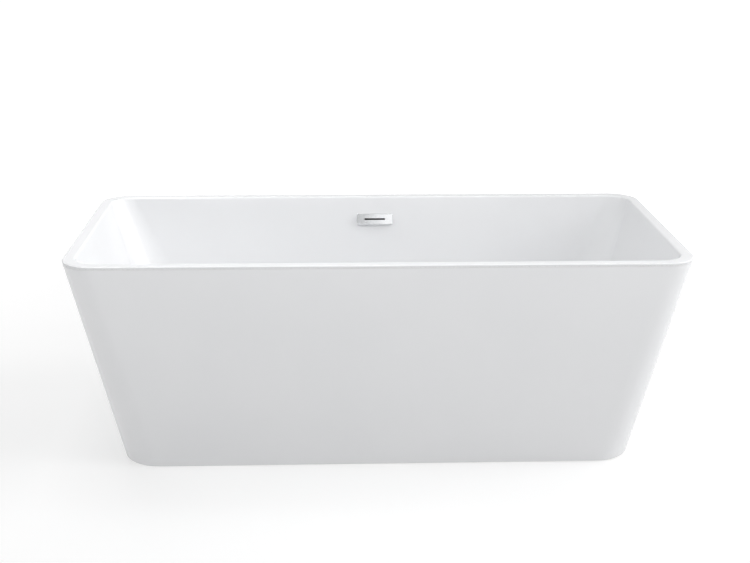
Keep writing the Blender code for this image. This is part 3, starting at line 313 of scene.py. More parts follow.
# By slot: material name, flat colour, roughness and metal; pattern and stops of the colour; pattern,
# low and high of the roughness; then pattern, distance and strength of each bump. A pattern is noise,
# (scale, detail, stretch), or cells, (output, scale, stretch, turn, feature).
TABLED_LOOKS = {
    # Cast sanitary acrylic: glossy, with the faint waviness of a vacuum-formed sheet
    "white_acrylic": (
        ("white_acrylic", (0.83, 0.835, 0.845), 0.14),
        ((3.0, 3.0), (0.35, (0.815, 0.821, 0.832)), (0.65, (0.83, 0.835, 0.845))),
        ((14.0, 4.0), 0.17, 0.24),
        ((24.0, 1.0), 0.0004, 0.10),
        ((420.0, 1.0), 0.00003, 0.25),
    ),
    # Polished chrome plate, with the slight unevenness that plating leaves
    "chrome": (
        ("polished_chrome", (0.86, 0.87, 0.88), 0.10, 1.0),
        ((60.0, 3.0), (0.3, (0.84, 0.85, 0.86)), (0.7, (0.88, 0.89, 0.90))),
        ((240.0, 4.0), 0.08, 0.14),
        ((160.0, 1.0), 0.00004, 0.3),
    ),
    # Bright zinc plate on fasteners, with a faint yellow and blue passivation
    "zinc_steel": (
        ("zinc_plate", (0.66, 0.67, 0.68), 0.30, 1.0),
        ((160.0, 3.0), (0.35, (0.60, 0.64, 0.70)), (0.5, (0.68, 0.69, 0.69)), (0.66, (0.74, 0.70, 0.60))),
        ((500.0, 4.0), 0.22, 0.42),
        ((1500.0, 2.0), 0.00003, 0.4),
    ),
    # Weld bead: dark heat-tinted metal sprayed with cold zinc. It has no slot of its own
    "weld": (
        ("weld_metal", (0.36, 0.35, 0.34), 0.55, 1.0),
        ((260.0, 4.0), (0.35, (0.20, 0.17, 0.15)), (0.5, (0.38, 0.37, 0.36)), (0.7, (0.52, 0.53, 0.54))),
        ((380.0, 3.0), 0.38, 0.70),
        ((900.0, 3.0), 0.0002, 0.5),
    ),
    # Matt black rubber with a fine tooth
    "black_rubber": (
        ("black_rubber", (0.025, 0.025, 0.026), 0.78),
        ((240.0, 4.0), (0.3, (0.018, 0.018, 0.019)), (0.7, (0.042, 0.042, 0.044))),
        ((500.0, 3.0), 0.62, 0.86),
        ((2200.0, 3.0), 0.00006, 0.6),
    ),
    # Satin white polypropylene, slightly uneven in gloss
    "white_plastic": (
        ("white_plastic", (0.80, 0.80, 0.78), 0.36),
        ((50.0, 2.0), (0.3, (0.77, 0.77, 0.75)), (0.7, (0.82, 0.82, 0.80))),
        ((400.0, 3.0), 0.28, 0.44),
        ((1100.0, 2.0), 0.00004, 0.4),
    ),
    # Grey extruded hose, uneven in tone
    "grey_hose": (
        ("grey_hose", (0.50, 0.51, 0.53), 0.48),
        ((120.0, 4.0), (0.3, (0.43, 0.44, 0.46)), (0.7, (0.56, 0.57, 0.59))),
        ((300.0, 3.0), 0.40, 0.58),
        ((1400.0, 2.0), 0.00005, 0.5),
    ),
    # Cured white bonding paste, dressed smooth and only a little uneven
    "bonding_paste": (
        ("bonding_paste", (0.82, 0.825, 0.835), 0.30),
        ((90.0, 4.0), (0.3, (0.805, 0.81, 0.82)), (0.7, (0.825, 0.83, 0.84))),
        ((200.0, 3.0), 0.22, 0.34),
        ((260.0, 4.0), 0.00005, 0.3),
    ),
    # Hot-dip galvanised tube: spangled zinc crystals, duller along a few streaks
    "frame_steel": (
        ("galvanised_steel", (0.50, 0.52, 0.54), 0.42, 1.0),
        (
            ("Color", 90.0),
            (0.2, (0.42, 0.44, 0.46)),
            (0.5, (0.52, 0.54, 0.56)),
            (0.8, (0.64, 0.66, 0.68)),
        ),
        ((120.0, 5.0), 0.30, 0.55),
        (("Distance", 90.0, None, None, "DISTANCE_TO_EDGE"), 0.0001, 0.3),
        ((700.0, 2.0), 0.00005, 0.3),
    ),
    # Turned brass: fine tool rings round the axis
    "brass": (
        ("turned_brass", (0.78, 0.60, 0.30), 0.28, 1.0),
        ((1.0, 2.0, (60.0, 60.0, 4200.0)), (0.3, (0.70, 0.52, 0.24)), (0.7, (0.84, 0.67, 0.36))),
        ((300.0, 3.0), 0.20, 0.38),
        ((1.0, 2.0, (60.0, 60.0, 4200.0)), 0.00004, 0.6),
    ),
    # Moulded black ABS with a fine spark-eroded grain
    "black_plastic": (
        ("black_plastic", (0.045, 0.046, 0.05), 0.45),
        ((80.0, 3.0), (0.3, (0.036, 0.037, 0.040)), (0.7, (0.060, 0.061, 0.065))),
        ((900.0, 2.0), 0.36, 0.55),
        (("Distance", 1600.0), 0.00005, 0.5),
    ),
    # Raw particle board: pressed wood chips of mixed colour, with pores between them
    "particle_board": (
        ("particle_board", (0.62, 0.45, 0.27), 0.82),
        (
            ("Color", 1.0, (300.0, 470.0, 620.0), (0.0, 0.0, 0.5)),
            (0.15, (0.34, 0.20, 0.10)),
            (0.35, (0.52, 0.36, 0.20)),
            (0.60, (0.66, 0.49, 0.30)),
            (0.85, (0.78, 0.63, 0.43)),
        ),
        ((600.0, 4.0), 0.70, 0.92),
        ((900.0, 5.0), 0.0003, 0.6),
    ),
}


def tabled_look(finish, color, roughness, *bumps):
    look = Look(*finish)
    look.color(look.pattern(*color[0]), *color[1:])
    look.roughness(look.pattern(*roughness[0]), *roughness[1:])
    for pattern, distance, strength in bumps:
        look.bump(look.pattern(*pattern), distance, strength)
    return look


def fibreglass_look():
    """Sprayed chopped-strand fibreglass backing: matted strands under uneven resin."""
    look = Look("fibreglass_backing", (0.78, 0.77, 0.71), 0.42)
    layers = [
        look.noise(1.0, 2.0, (460.0, 34.0, 460.0), (0.35 * number, 0.8 * number, turn))
        for number, turn in enumerate((0.0, 1.05, 2.1, 2.75))
    ]
    strands = layers[0]
    for layer in layers[1:]:
        strands = look.greater(strands, layer)
    look.color(
        strands, (0.50, (0.60, 0.58, 0.49)), (0.60, (0.76, 0.75, 0.68)), (0.72, (0.88, 0.88, 0.84))
    )
    look.roughness(look.noise(30.0, 4.0), 0.28, 0.60)
    look.bump(strands, 0.0006, 0.8)
    look.bump(look.noise(45.0, 4.0), 0.0015, 0.5)
    return look


def make_looks():
    """Materials by slot, with the fibreglass and the weld metal, which have no slot of their own."""
    looks = {slot: tabled_look(*row) for slot, row in TABLED_LOOKS.items()}
    looks["fibreglass"] = fibreglass_look()
    looks["white_acrylic"].set("IOR", 1.49)
    looks["black_rubber"].set("Specular IOR Level", 0.3)
    return {slot: look.material for slot, look in looks.items()}


LOOKS = make_looks()

# ---- Mesh helpers ----


def object_from(name, shape, materials, sharp=38, transform=None):
    """Turn a bmesh into a smooth-shaded object with sharp creases."""
    if transform:
        bmesh.ops.transform(shape, matrix=transform, verts=shape.verts)
    bmesh.ops.remove_doubles(shape, verts=shape.verts, dist=1e-7)
    bmesh.ops.recalc_face_normals(shape, faces=shape.faces)
    mesh = bpy.data.meshes.new(name)
    shape.to_mesh(mesh)
    shape.free()
    for material in materials:
        mesh.materials.append(material)
    shade(mesh, sharp)
    obj = bpy.data.objects.new(name, mesh)
    bpy.context.scene.collection.objects.link(obj)
    return obj


def shade(mesh, sharp=38):
    mesh.shade_smooth()
    mesh.set_sharp_from_angle(angle=math.radians(sharp))


def settle(obj, body, slot, *replaced):
    """The piece rides on a body and stands for CAD nodes, which it hides. slot is not used."""
    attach(obj, body)
    if replaced:
        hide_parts(*replaced)


def combine(obj, others, operation="DIFFERENCE"):
    """Cut the others out of the object, or join them to it, and remove them."""
    for other in others:
        modifier = obj.modifiers.new("Combine", "BOOLEAN")
        modifier.operation = operation
        modifier.object = other
        modifier.solver = "EXACT"
    graph = bpy.context.evaluated_depsgraph_get()
    mesh = bpy.data.meshes.new_from_object(obj.evaluated_get(graph))
    obj.modifiers.clear()
    obj.data = mesh
    mesh.name = obj.name
    shade(mesh)
    for other in others:
        bpy.data.objects.remove(other)


def join_loops(shape, lower, upper, material=0):
    for i in range(len(lower)):
        j = (i + 1) % len(lower)
        face = shape.faces.new((lower[i], lower[j], upper[j], upper[i]))
        face.material_index = material


def loft(name, sections, materials, bands=None, closed=False, transform=None):
    """A solid through loops of equal point counts. bands names the material of each band."""
    shape = bmesh.new()
    loops = [[shape.verts.new(point) for point in section] for section in sections]
    bands = bands or [0] * len(loops)
    pairs = list(zip(loops, loops[1:]))
    if closed:
        pairs.append((loops[-1], loops[0]))
    else:
        shape.faces.new(loops[0]).material_index = bands[0]
        shape.faces.new(loops[-1]).material_index = bands[-1]
    for (lower, upper), band in zip(pairs, bands):
        join_loops(shape, lower, upper, band)
    return object_from(name, shape, materials, transform=transform)


def turned(name, rows, materials, closed=False, columns=ROUND, transform=None, sharp=38):
    """Rows turned about Z. A row is (radius, height), or a function of the angle that gives them."""
    shape = bmesh.new()
    rings = []
    for row in rows:
        ring = []
        for column in range(columns):
            angle = 2 * math.pi * column / columns
            radius, height = row(angle) if callable(row) else row
            ring.append((radius * math.cos(angle), radius * math.sin(angle), height))
            if not callable(row) and row[0] < 1e-9:
                break
        rings.append([shape.verts.new(point) for point in ring])
    pairs = list(zip(rings, rings[1:]))
    if closed:
        pairs.append((rings[-1], rings[0]))
    for upper, lower in pairs:
        for i in range(columns):
            j = (i + 1) % columns
            if len(upper) == 1:
                shape.faces.new((upper[0], lower[i], lower[j]))
            elif len(lower) == 1:
                shape.faces.new((upper[i], lower[0], upper[j]))
            else:
                shape.faces.new((upper[i], lower[i], lower[j], upper[j]))
    return object_from(name, shape, materials, sharp, transform)


def turn_node(node, suffix, rows, slot, axis=None, body="tub", **more):
    """Turn rows about the node's own upright axis, or another, in place of the node."""
    axis = upright(node) if axis is None else axis
    piece = turned(f"{node}_{suffix}", rows, (LOOKS[slot],), transform=axis, **more)
    settle(piece, body, slot, node)


def rounded(corners, closed=True, steps=EDGE_STEPS):
    """(x, y, radius) corners of an outline, with an arc in place of each corner that has a radius."""
    points = []
    count = len(corners)
    for i, (x, y, radius) in enumerate(corners):
        corner = Vector((x, y))
        if not radius or (not closed and i in (0, count - 1)):
            points.append((x, y))
            continue
        before = (Vector(corners[i - 1][:2]) - corner).normalized()
        after = (Vector(corners[(i + 1) % count][:2]) - corner).normalized()
        half = before.angle(after) / 2
        center = corner + (before + after).normalized() * radius / math.sin(half)
        start = corner + before * radius / math.tan(half) - center
        end = corner + after * radius / math.tan(half) - center
        first = math.atan2(start.y, start.x)
        sweep_angle = (math.atan2(end.y, end.x) - first + math.pi) % (2 * math.pi) - math.pi
        for step in range(steps + 1):
            angle = first + sweep_angle * step / steps
            points.append((center.x + radius * math.cos(angle), center.y + radius * math.sin(angle)))
    return points


def rounded_rectangle(half_x, half_y, radius, height, steps=CORNER_STEPS, support=SUPPORT):
    """Points of a rounded rectangle, anticlockwise, with a support point at each end of a straight."""
    points = []
    for quarter in range(4):
        turn = quarter * math.pi / 2
        sign_x = 1 if quarter in (0, 3) else -1
        sign_y = 1 if quarter in (0, 1) else -1
        ahead = Vector((-math.sin(turn), math.cos(turn), 0)) * support
        arc = []
        for step in range(steps + 1):
            angle = turn + step * math.pi / 2 / steps
            x = sign_x * (half_x - radius) + radius * math.cos(angle)
            y = sign_y * (half_y - radius) + radius * math.sin(angle)
            arc.append(Vector((x, y, height)))
        onward = Vector((-math.cos(turn), -math.sin(turn), 0)) * support
        points += [arc[0] - ahead, *arc, arc[-1] + onward]
    return points


def box_cutter(name, size, center):
    """A plain box that is only used to cut or join."""
    shape = bmesh.new()
    bmesh.ops.create_cube(shape, size=1.0, matrix=Matrix.Diagonal((*size, 1.0)))
    bmesh.ops.transform(shape, matrix=Matrix.Translation(center), verts=shape.verts)
    return object_from(name, shape, ())


def round_cutter(name, radius, length, center, axis="Z", columns=ROUND):
    """A plain cylinder that is only used to cut or join."""
    shape = bmesh.new()
    bmesh.ops.create_cone(
        shape, cap_ends=True, segments=columns, radius1=radius, radius2=radius, depth=length
    )
    turn = {"Z": Matrix(), "Y": Matrix.Rotation(math.pi / 2, 4, "X")}[axis]
    bmesh.ops.transform(shape, matrix=Matrix.Translation(center) @ turn, verts=shape.verts)
    return object_from(name, shape, ())


def middle_of(node):
    low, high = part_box(node)
    return (low + high) / 2


def upright(node):
    """The node's upright axis, as a transform of something made at the origin."""
    middle = middle_of(node)
    return Matrix.Translation((middle.x, middle.y, 0))


def degrees_between(first, last, count):
    return [math.radians(first + (last - first) * i / count) for i in range(count + 1)]


def arc(size, first, last, count=EDGE_STEPS):
    """(rise, inset) round an eased edge, between two angles in degrees. The wall is at 0."""
    return [(size * math.sin(a), size * (1 - math.cos(a))) for a in degrees_between(first, last, count)]


def sweep(shape, points, radius, columns, up, inner=None):
    """A tube along points, whose radius goes by its share of the length. inner makes it hollow."""
    total = sum((b - a).length for a, b in zip(points, points[1:]))
    gone = 0.0
    outer_loops = []
    inner_loops = []
    for i, point in enumerate(points):
        if i:
            gone += (point - points[i - 1]).length
        ahead = (points[min(i + 1, len(points) - 1)] - points[max(i - 1, 0)]).normalized()
        side = ahead.cross(up).normalized()
        rise = side.cross(ahead)
        for loops, size in ((outer_loops, radius(gone / total)), (inner_loops, inner)):
            if size is not None:
                loops.append(
                    [
                        shape.verts.new(
                            point
                            + side * size * math.cos(2 * math.pi * k / columns)
                            + rise * size * math.sin(2 * math.pi * k / columns)
                        )
                        for k in range(columns)
                    ]
                )
    for loops in (outer_loops, inner_loops):
        for lower, upper in zip(loops, loops[1:]):
            join_loops(shape, lower, upper)
    for end in (0, -1):
        if inner is None:
            shape.faces.new(outer_loops[end])
        else:
            join_loops(shape, outer_loops[end], inner_loops[end])


# ---- Shells ----


def outside_at(height, inset=0.0):
    """Half length, half width and corner radius of the outer wall at a height."""
    share = height / (HEIGHT - RIM_OUTER_FILLET)
    half_x = (BASE_LENGTH + (LENGTH - BASE_LENGTH) * share) / 2 - inset
    half_y = (BASE_WIDTH + (WIDTH - BASE_WIDTH) * share) / 2 - inset
    radius = BASE_CORNER_RADIUS + (RIM_CORNER_RADIUS - BASE_CORNER_RADIUS) * share - inset
    return half_x, half_y, radius


def outer_loop(height, inset=0.0):
    return rounded_rectangle(*outside_at(height, inset), height)


def wall_at(height, half_at_rim, slope, growth):
    """Where a basin wall and its floor fillet are at a height, and how far the fillet brings it in."""
    tilt = math.sqrt(1 + slope * slope)
    radius = FLOOR_FILLET + growth
    floor = FLOOR_Z - growth
    straight = half_at_rim - slope * (HEIGHT - height) + growth * tilt
    tangent = floor + radius * (1 - slope / tilt)
    if height >= tangent:
        return straight, 0.0
    center_height = floor + radius
    center = half_at_rim - slope * (HEIGHT - center_height) + growth * tilt - radius * tilt
    place = center + math.sqrt(max(radius**2 - (center_height - height) ** 2, 0.0))
    return place, straight - place


def basin_at(height, growth=0.0):
    """Half length, half width and corner radius of the basin at a height, grown by a wall."""
    half_x, inset_x = wall_at(height, LENGTH / 2 - RIM_WIDTH, END_SLOPE, growth)
    half_y, inset_y = wall_at(height, WIDTH / 2 - RIM_WIDTH, SIDE_SLOPE, growth)
    radius = BASIN_CORNER_RADIUS + BASIN_CORNER_GROWTH * (HEIGHT - height) + growth
    return half_x, half_y, radius - min(inset_x, inset_y)


def basin_loop(height, growth=0.0):
    return rounded_rectangle(*basin_at(height, growth), height)


def wall_heights(growth, top):
    """Heights from the basin floor up its fillet, and then up the straight wall."""
    radius = FLOOR_FILLET + growth
    last = math.pi / 2 - SIDE_ANGLE
    floor = FLOOR_Z - growth
    heights = [floor + radius * (1 - math.cos(last * i / FILLET_STEPS)) for i in range(FILLET_STEPS + 1)]
    start = heights[-1] + SUPPORT
    heights += [start + (top - SUPPORT - start) * i / 6 for i in range(7)]
    return heights


def overflow_seat():
    """Turns the overflow's own axes, Z into the tub and Y up the wall, into the frame's."""
    place = (OVERFLOW_X, WIDTH / 2 - RIM_WIDTH - SIDE_SLOPE * OVERFLOW_DEPTH, HEIGHT - OVERFLOW_DEPTH)
    return Matrix.Translation(place) @ Matrix.Rotation(math.pi / 2 - SIDE_ANGLE, 4, "X")


def make_basin():
    """Inner shell: glossy inside and rim, fibreglass on the hidden side."""
    rim_start = HEIGHT - RIM_INNER_FILLET
    rim_bottom = HEIGHT - RIM_THICKNESS
    half_x, half_y, radius = basin_at(FLOOR_Z)
    sections = [rounded_rectangle(half_x - SUPPORT, half_y - SUPPORT, radius, FLOOR_Z)]
    sections += [basin_loop(z) for z in wall_heights(0.0, rim_start)]
    half_x, half_y, radius = basin_at(rim_start)
    for angle in degrees_between(0, 90, 10):
        height = rim_start + RIM_INNER_FILLET * math.sin(angle)
        reach_x = RIM_INNER_FILLET * (math.sqrt(1 + END_SLOPE**2) - math.cos(angle))
        reach_y = RIM_INNER_FILLET * (math.sqrt(1 + SIDE_SLOPE**2) - math.cos(angle))
        if reach_x > 0 and angle > SIDE_ANGLE:
            loop = (half_x + reach_x, half_y + reach_y, radius + reach_y, height)
            sections.append(rounded_rectangle(*loop))
    height = loop[3]
    sections.append(rounded_rectangle(*(size + RIM_SUPPORT for size in loop[:3]), height))
    edge = outside_at(HEIGHT, RIM_OUTER_FILLET + RIM_SUPPORT)
    sections.append(rounded_rectangle(*edge, height))
    for rise, inset in arc(RIM_OUTER_FILLET, 90, 0, EDGE_STEPS + 2):
        height = HEIGHT - RIM_OUTER_FILLET + rise
        half_x, half_y, radius = outside_at(height, inset)
        half_x, half_y = min(half_x, LENGTH / 2), min(half_y, WIDTH / 2)
        sections.append(rounded_rectangle(half_x, half_y, radius, height))
    for rise, inset in arc(RIM_LOWER_EDGE, 0, 90, 3):
        sections.append(outer_loop(rim_bottom + RIM_LOWER_EDGE - rise, inset))
    acrylic_bands = len(sections)
    sections.append(basin_loop(rim_bottom, BASIN_WALL))
    for z in reversed(wall_heights(BASIN_WALL, rim_bottom - SUPPORT)):
        sections.append(basin_loop(z, BASIN_WALL))
    under = FLOOR_Z - BASIN_WALL
    half_x, half_y, radius = basin_at(under, BASIN_WALL)
    sections.append(rounded_rectangle(half_x - SUPPORT, half_y - SUPPORT, radius, under))
    bands = [0] * acrylic_bands + [1] * (len(sections) - 1 - acrylic_bands)
    shell = (LOOKS["white_acrylic"], LOOKS["fibreglass"])
    basin = loft("basin_shell", sections, shell, bands)

    reach = 3 * BASIN_WALL
    window = [rounded_rectangle(0.040, 0.008, 0.003, z, 8, 0.001) for z in (-reach, reach)]
    cutters = [
        round_cutter("basin_drain_cutter", BASIN_DRAIN_BORE, 2 * reach, (0, DRAIN.y, FLOOR_Z)),
        loft("basin_overflow_cutter", window, (), transform=overflow_seat()),
    ]
    combine(basin, cutters)
    settle(basin, "tub", "white_acrylic", "basin")


def make_skirt():
    """Outer shell: glossy outside with eased edges, and fibreglass on its hidden side."""
    top = SKIRT_HIGH.z
    under_flange = top - SKIRT_WALL
    foot = SKIRT_LOW.z
    start = foot + SKIRT_EDGE_RADIUS
    end = top - SKIRT_TOP_RADIUS
    sections = [outer_loop(start + rise, inset) for rise, inset in arc(SKIRT_EDGE_RADIUS, -90, 0)]
    sections += [outer_loop(z) for z in (start + SUPPORT, (start + end) / 2, end - SUPPORT)]
    sections += [outer_loop(end + rise, inset) for rise, inset in arc(SKIRT_TOP_RADIUS, 0, 90)]
    glossy = len(sections) - 1
    sections += [outer_loop(z, SKIRT_FLANGE) for z in (top, under_flange)]
    for rise, inset in arc(SKIRT_INNER_FILLET, 90, 0):
        sections.append(outer_loop(under_flange - SKIRT_INNER_FILLET + rise, SKIRT_WALL + inset))
    sections += [outer_loop(z, SKIRT_WALL) for z in ((foot + top) / 2, foot + SUPPORT, foot)]
    bands = [0] * glossy + [1] * (len(sections) - glossy)
    bands[-1] = 0
    shell = (LOOKS["white_acrylic"], LOOKS["fibreglass"])
    skirt = loft("skirt_shell", sections, shell, bands, closed=True)
    settle(skirt, "tub", "white_acrylic", "outer_skirt")


def make_rim_bead():
    """Bonding bead between the rim and the skirt, dressed flush with them outside."""
    low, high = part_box("rim_bond_bead")
    half = (high.z - low.z) / 2
    middle = (low.z + high.z) / 2
    sections = [outer_loop(z, BEAD_INSET) for z in (low.z, middle, high.z)]
    for rise, inset in arc(half, -90, 90):
        loop = outside_at(middle, BEAD_WIDTH - inset)
        sections.append(rounded_rectangle(*loop, middle - rise))
    bead = loft("rim_bead", sections, (LOOKS["bonding_paste"],), closed=True)
    settle(bead, "tub", "bonding_paste", "rim_bond_bead")


# ---- Board and frame ----


def make_board():
    """Reinforcing board with eased edges, open around the drain."""
    low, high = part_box("base_board")
    edges = [(low.z + BOARD_EDGE + rise, inset) for rise, inset in arc(BOARD_EDGE, -90, 0, 3)]
    edges += [(high.z - BOARD_EDGE + rise, inset) for rise, inset in arc(BOARD_EDGE, 0, 90, 3)]
    sections = [
        rounded_rectangle(high.x - inset, high.y - inset, BOARD_CORNER_RADIUS - inset, height, 12)
        for height, inset in edges
    ]
    board = loft("board", sections, (LOOKS["particle_board"],))
    cutters = [round_cutter("board_cutter", BOARD_DRAIN_BORE, 0.06, (0, DRAIN.y, high.z))]
    for number in range(1, 9):
        middle = middle_of(f"board_screw_{number}")
        place = (middle.x, middle.y, low.z)
        cutters.append(round_cutter("board_pilot", BOARD_PILOT, 0.03, place, columns=24))
    combine(board, cutters)
    settle(board, "tub", "particle_board", "base_board")


def make_tube(node, along_x, hole_places, hole_radius):
    """Square steel tube with rolled corners, open ends and drilled holes."""
    low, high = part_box(node)
    half_length = (high.x - low.x if along_x else high.y - low.y) / 2
    half = (high.z - low.z) / 2
    spin = Matrix.Rotation(math.pi / 2, 4, "Y" if along_x else "X")
    transform = Matrix.Translation((low + high) / 2) @ spin
    outside = (half, half, 0.0028)
    inside = (half - TUBE_WALL, half - TUBE_WALL, 0.0012)
    sections = [
        rounded_rectangle(*outline, side * half_length, 6, 0.001)
        for outline, side in ((outside, -1), (outside, 1), (inside, 1), (inside, -1))
    ]
    steel = (LOOKS["frame_steel"],)
    tube = loft(f"{node}_tube", sections, steel, closed=True, transform=transform)
    height = (low.z + high.z) / 2
    cutters = [
        round_cutter("tube_hole", hole_radius, 6 * half, (x, y, height), columns=32)
        for x, y in hole_places
    ]
    combine(tube, cutters)
    settle(tube, "tub", "frame_steel", node)


def make_frame():
    """The two rails and four crossbars."""
    feet = [middle_of(f"foot_stem_{number}") for number in range(1, 5)]
    screws = [middle_of(f"board_screw_{number}") for number in range(1, 9)]
    for node in ("rail_front", "rail_back"):
        y = middle_of(node).y
        make_tube(node, True, [(foot.x, foot.y) for foot in feet if abs(foot.y - y) < 0.01], RAIL_HOLE)
    for number in range(1, 5):
        node = f"crossbar_{number}"
        x = middle_of(node).x
        places = [(screw.x, screw.y) for screw in screws if abs(screw.x - x) < 0.01]
        make_tube(node, False, places, CROSSBAR_HOLE)


def make_welds():
    """A rippled bead on each side of every crossing of a crossbar and a rail."""
    shape = bmesh.new()
    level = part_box("rail_front")[1].z + WELD_PROUD
    end_gap = 0.0015
    for number in range(1, 5):

        def radius(share, number=number):
            taper = math.sqrt(max(0.02, 1 - (2 * share - 1) ** 6))
            return WELD_RADIUS * taper * (1 + 0.10 * math.sin(WELD_ROWS * share * 2.2 + number))

        low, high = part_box(f"crossbar_{number}")
        for rail in ("rail_front", "rail_back"):
            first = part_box(rail)[0].y + end_gap
            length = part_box(rail)[1].y - end_gap - first
            for side in (low.x - WELD_PROUD, high.x + WELD_PROUD):
                rows = [first + length * row / WELD_ROWS for row in range(WELD_ROWS + 1)]
                points = [Vector((side, y, level)) for y in rows]
                sweep(shape, points, radius, 12, Vector((0, 0, 1)))
    settle(object_from("frame_welds", shape, (LOOKS["weld"],), 80), "tub", "frame_steel")


# ---- Fasteners ----


def hexagon(across_flats):
    """Radius of a hexagon by angle."""

    def radius(angle):
        turn = (angle + math.pi / 6) % (math.pi / 3) - math.pi / 6
        return across_flats / 2 / math.cos(turn)

    return radius


def chamfered_hexagon(across_flats, bottom, top, slope=0.5):
    """Rows of a hexagon whose corners are eased by a cone at each end."""
    radius = hexagon(across_flats)
    start = across_flats / 2 * 0.97

    def low(angle):
        return radius(angle), bottom + (radius(angle) - start) * slope

    def high(angle):
        return radius(angle), top - (radius(angle) - start) * slope

    return [(start, bottom), low, high, (start, top)]


def thread_rows(radius, depth, pitch, low, high, rows_per_turn=8):
    """Rows of a screw thread, from low to high, that fades in at both ends."""
    count = int((high - low) / pitch * rows_per_turn)

    def row(height):
        fade = min(1.0, (height - low) / pitch, (high - height) / pitch)

        def at(angle):
            phase = (height / pitch - angle / (2 * math.pi)) % 1.0
            flank = min(1.0, max(0.0, abs(2 * phase - 1) * 1.3 - 0.15))
            return radius - depth * (1 - fade * (1 - flank)), height

        return at

    return [row(low + (high - low) * i / count) for i in range(1, count)]


def make_nut(node, bore):
    low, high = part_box(node)
    across = min(high.x - low.x, high.y - low.y)
    ease = 0.0006
    rows = [(bore, low.z + ease), (bore + ease, low.z)]
    rows += chamfered_hexagon(across, low.z, high.z)
    rows += [(bore + ease, high.z), (bore, high.z - ease)]
    turn_node(node, "hex", rows, "zinc_steel", closed=True, columns=72, sharp=25)


def make_board_screws():
    """Self-drilling screws: hexagon head on a washer, thread and point."""
    washer = 0.0009
    radius = 0.0025
    for number in range(1, 9):
        node = f"board_screw_{number}"
        low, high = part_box(node)
        seat = low.z + 0.003
        thread_end = high.z - 0.005
        rows = [(0, low.z), (0.0034, low.z)]
        rows += chamfered_hexagon(0.0078, low.z, seat - washer)[1:3]
        rows += [(0.0058, seat - washer), (0.0060, seat - 0.5 * washer), (0.0058, seat)]
        rows += [(radius - 0.0004, seat)]
        rows += thread_rows(radius, 0.0005, 0.0020, seat + 0.001, thread_end, 6)
        rows += [(radius - 0.0005, thread_end), (0.0008, high.z - 0.001), (0, high.z)]
        turn_node(node, "hex", rows, "zinc_steel", columns=24, sharp=40)


# ---- Levelling feet ----


def ribbed(low, high, inner, outer, ribs, share=0.22):
    """Height by angle: a rib stands at high over a part of each turn, and the web lies at low."""

    def height(angle):
        phase = (angle * ribs / (2 * math.pi)) % 1.0
        edge = min(phase, 1 - phase)
        return high if edge < share / 2 else low

    return [
        lambda angle: (inner, height(angle)),
        lambda angle: (outer, height(angle)),
    ]


def make_sole(node, axis, body):
    """Rubber disc with rings in its underside."""
    low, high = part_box(node)
    radius = (high.x - low.x) / 2
    ease = 0.0008
    groove = low.z + 0.0006
    rows = [(0, high.z), (radius - ease, high.z), (radius, high.z - ease)]
    rows += [(radius, groove), (radius - 0.0006, low.z)]
    for ring in (0.023, 0.019, 0.015, 0.011, 0.007):
        rows += [(ring, low.z), (ring - 0.0004, groove)]
        rows += [(ring - 0.0012, groove), (ring - 0.0016, low.z)]
    rows += [(0, low.z)]
    turn_node(node, "disc", rows, "black_rubber", axis, body)


def make_pad(node, axis, body):
    """Plastic pad with a socket for the stem, and ribs between its hub and its rim."""
    low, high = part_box(node)
    radius = (high.x - low.x) / 2
    hub = 0.012
    ease = 0.0005
    web = low.z + 0.0045
    rows = [(0, low.z + 0.003), (FOOT_BORE, low.z + 0.003), (FOOT_BORE, high.z - ease)]
    rows += [(FOOT_BORE + ease, high.z), (hub - 0.0008, high.z), (hub, high.z - 0.0008)]
    rows += ribbed(web + ease, low.z + 0.008, hub, radius - 0.0035, 12)
    rows += [(radius - 0.0033, web), (radius - 0.0020, web)]
    rows += [(radius - 0.0018, web + 0.0003), (radius - 0.0004, web + 0.0003), (radius, web - 0.0003)]
    rows += [(radius, low.z + ease), (radius - ease, low.z), (0, low.z)]
    turn_node(node, "base", rows, "black_plastic", axis, body, columns=96, sharp=30)


def make_stem(node, axis, body, hex_low):
    """Threaded stem with its hexagon."""
    low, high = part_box(node)
    radius = 0.006
    ease = 0.0006
    hex_high = hex_low + 0.007
    rows = [(0, low.z), (radius - ease, low.z), (radius, low.z + ease), (radius, hex_low)]
    rows += chamfered_hexagon(0.017, hex_low, hex_high)
    rows += [(radius - 0.0009, hex_high), (radius - 0.0009, hex_high + 0.0004)]
    rows += thread_rows(radius, 0.0010, 0.00175, hex_high + 0.0005, high.z - ease)
    rows += [(radius - 0.0011, high.z - 0.0005), (radius - 0.0016, high.z), (0, high.z)]
    turn_node(node, "rod", rows, "zinc_steel", axis, body, columns=48, sharp=50)


def make_feet():
    """Each foot's sole, pad and stem, with the nuts that hold it to the rail."""
    for number in range(1, 5):
        sole, pad, stem = (f"foot_{kind}_{number}" for kind in ("sole", "pad", "stem"))
        axis = upright(stem)
        make_sole(sole, axis, f"foot_{number}")
        make_pad(pad, axis, f"foot_{number}")
        make_stem(stem, axis, f"stem_{number}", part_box(pad)[1].z + GAP)
        make_nut(f"foot_lock_nut_{number}", FOOT_BORE)
        make_nut(f"foot_frame_nut_{number}", FOOT_BORE)


# ---- Drain ----


def make_ring(node, inner, outer, edge):
    """A rubber washer or gasket with eased edges."""
    low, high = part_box(node)
    corners = [(inner, high.z), (outer, high.z), (outer, low.z), (inner, low.z)]
    rows = rounded([(*corner, edge) for corner in corners])
    turn_node(node, "ring", rows, "black_rubber", closed=True)


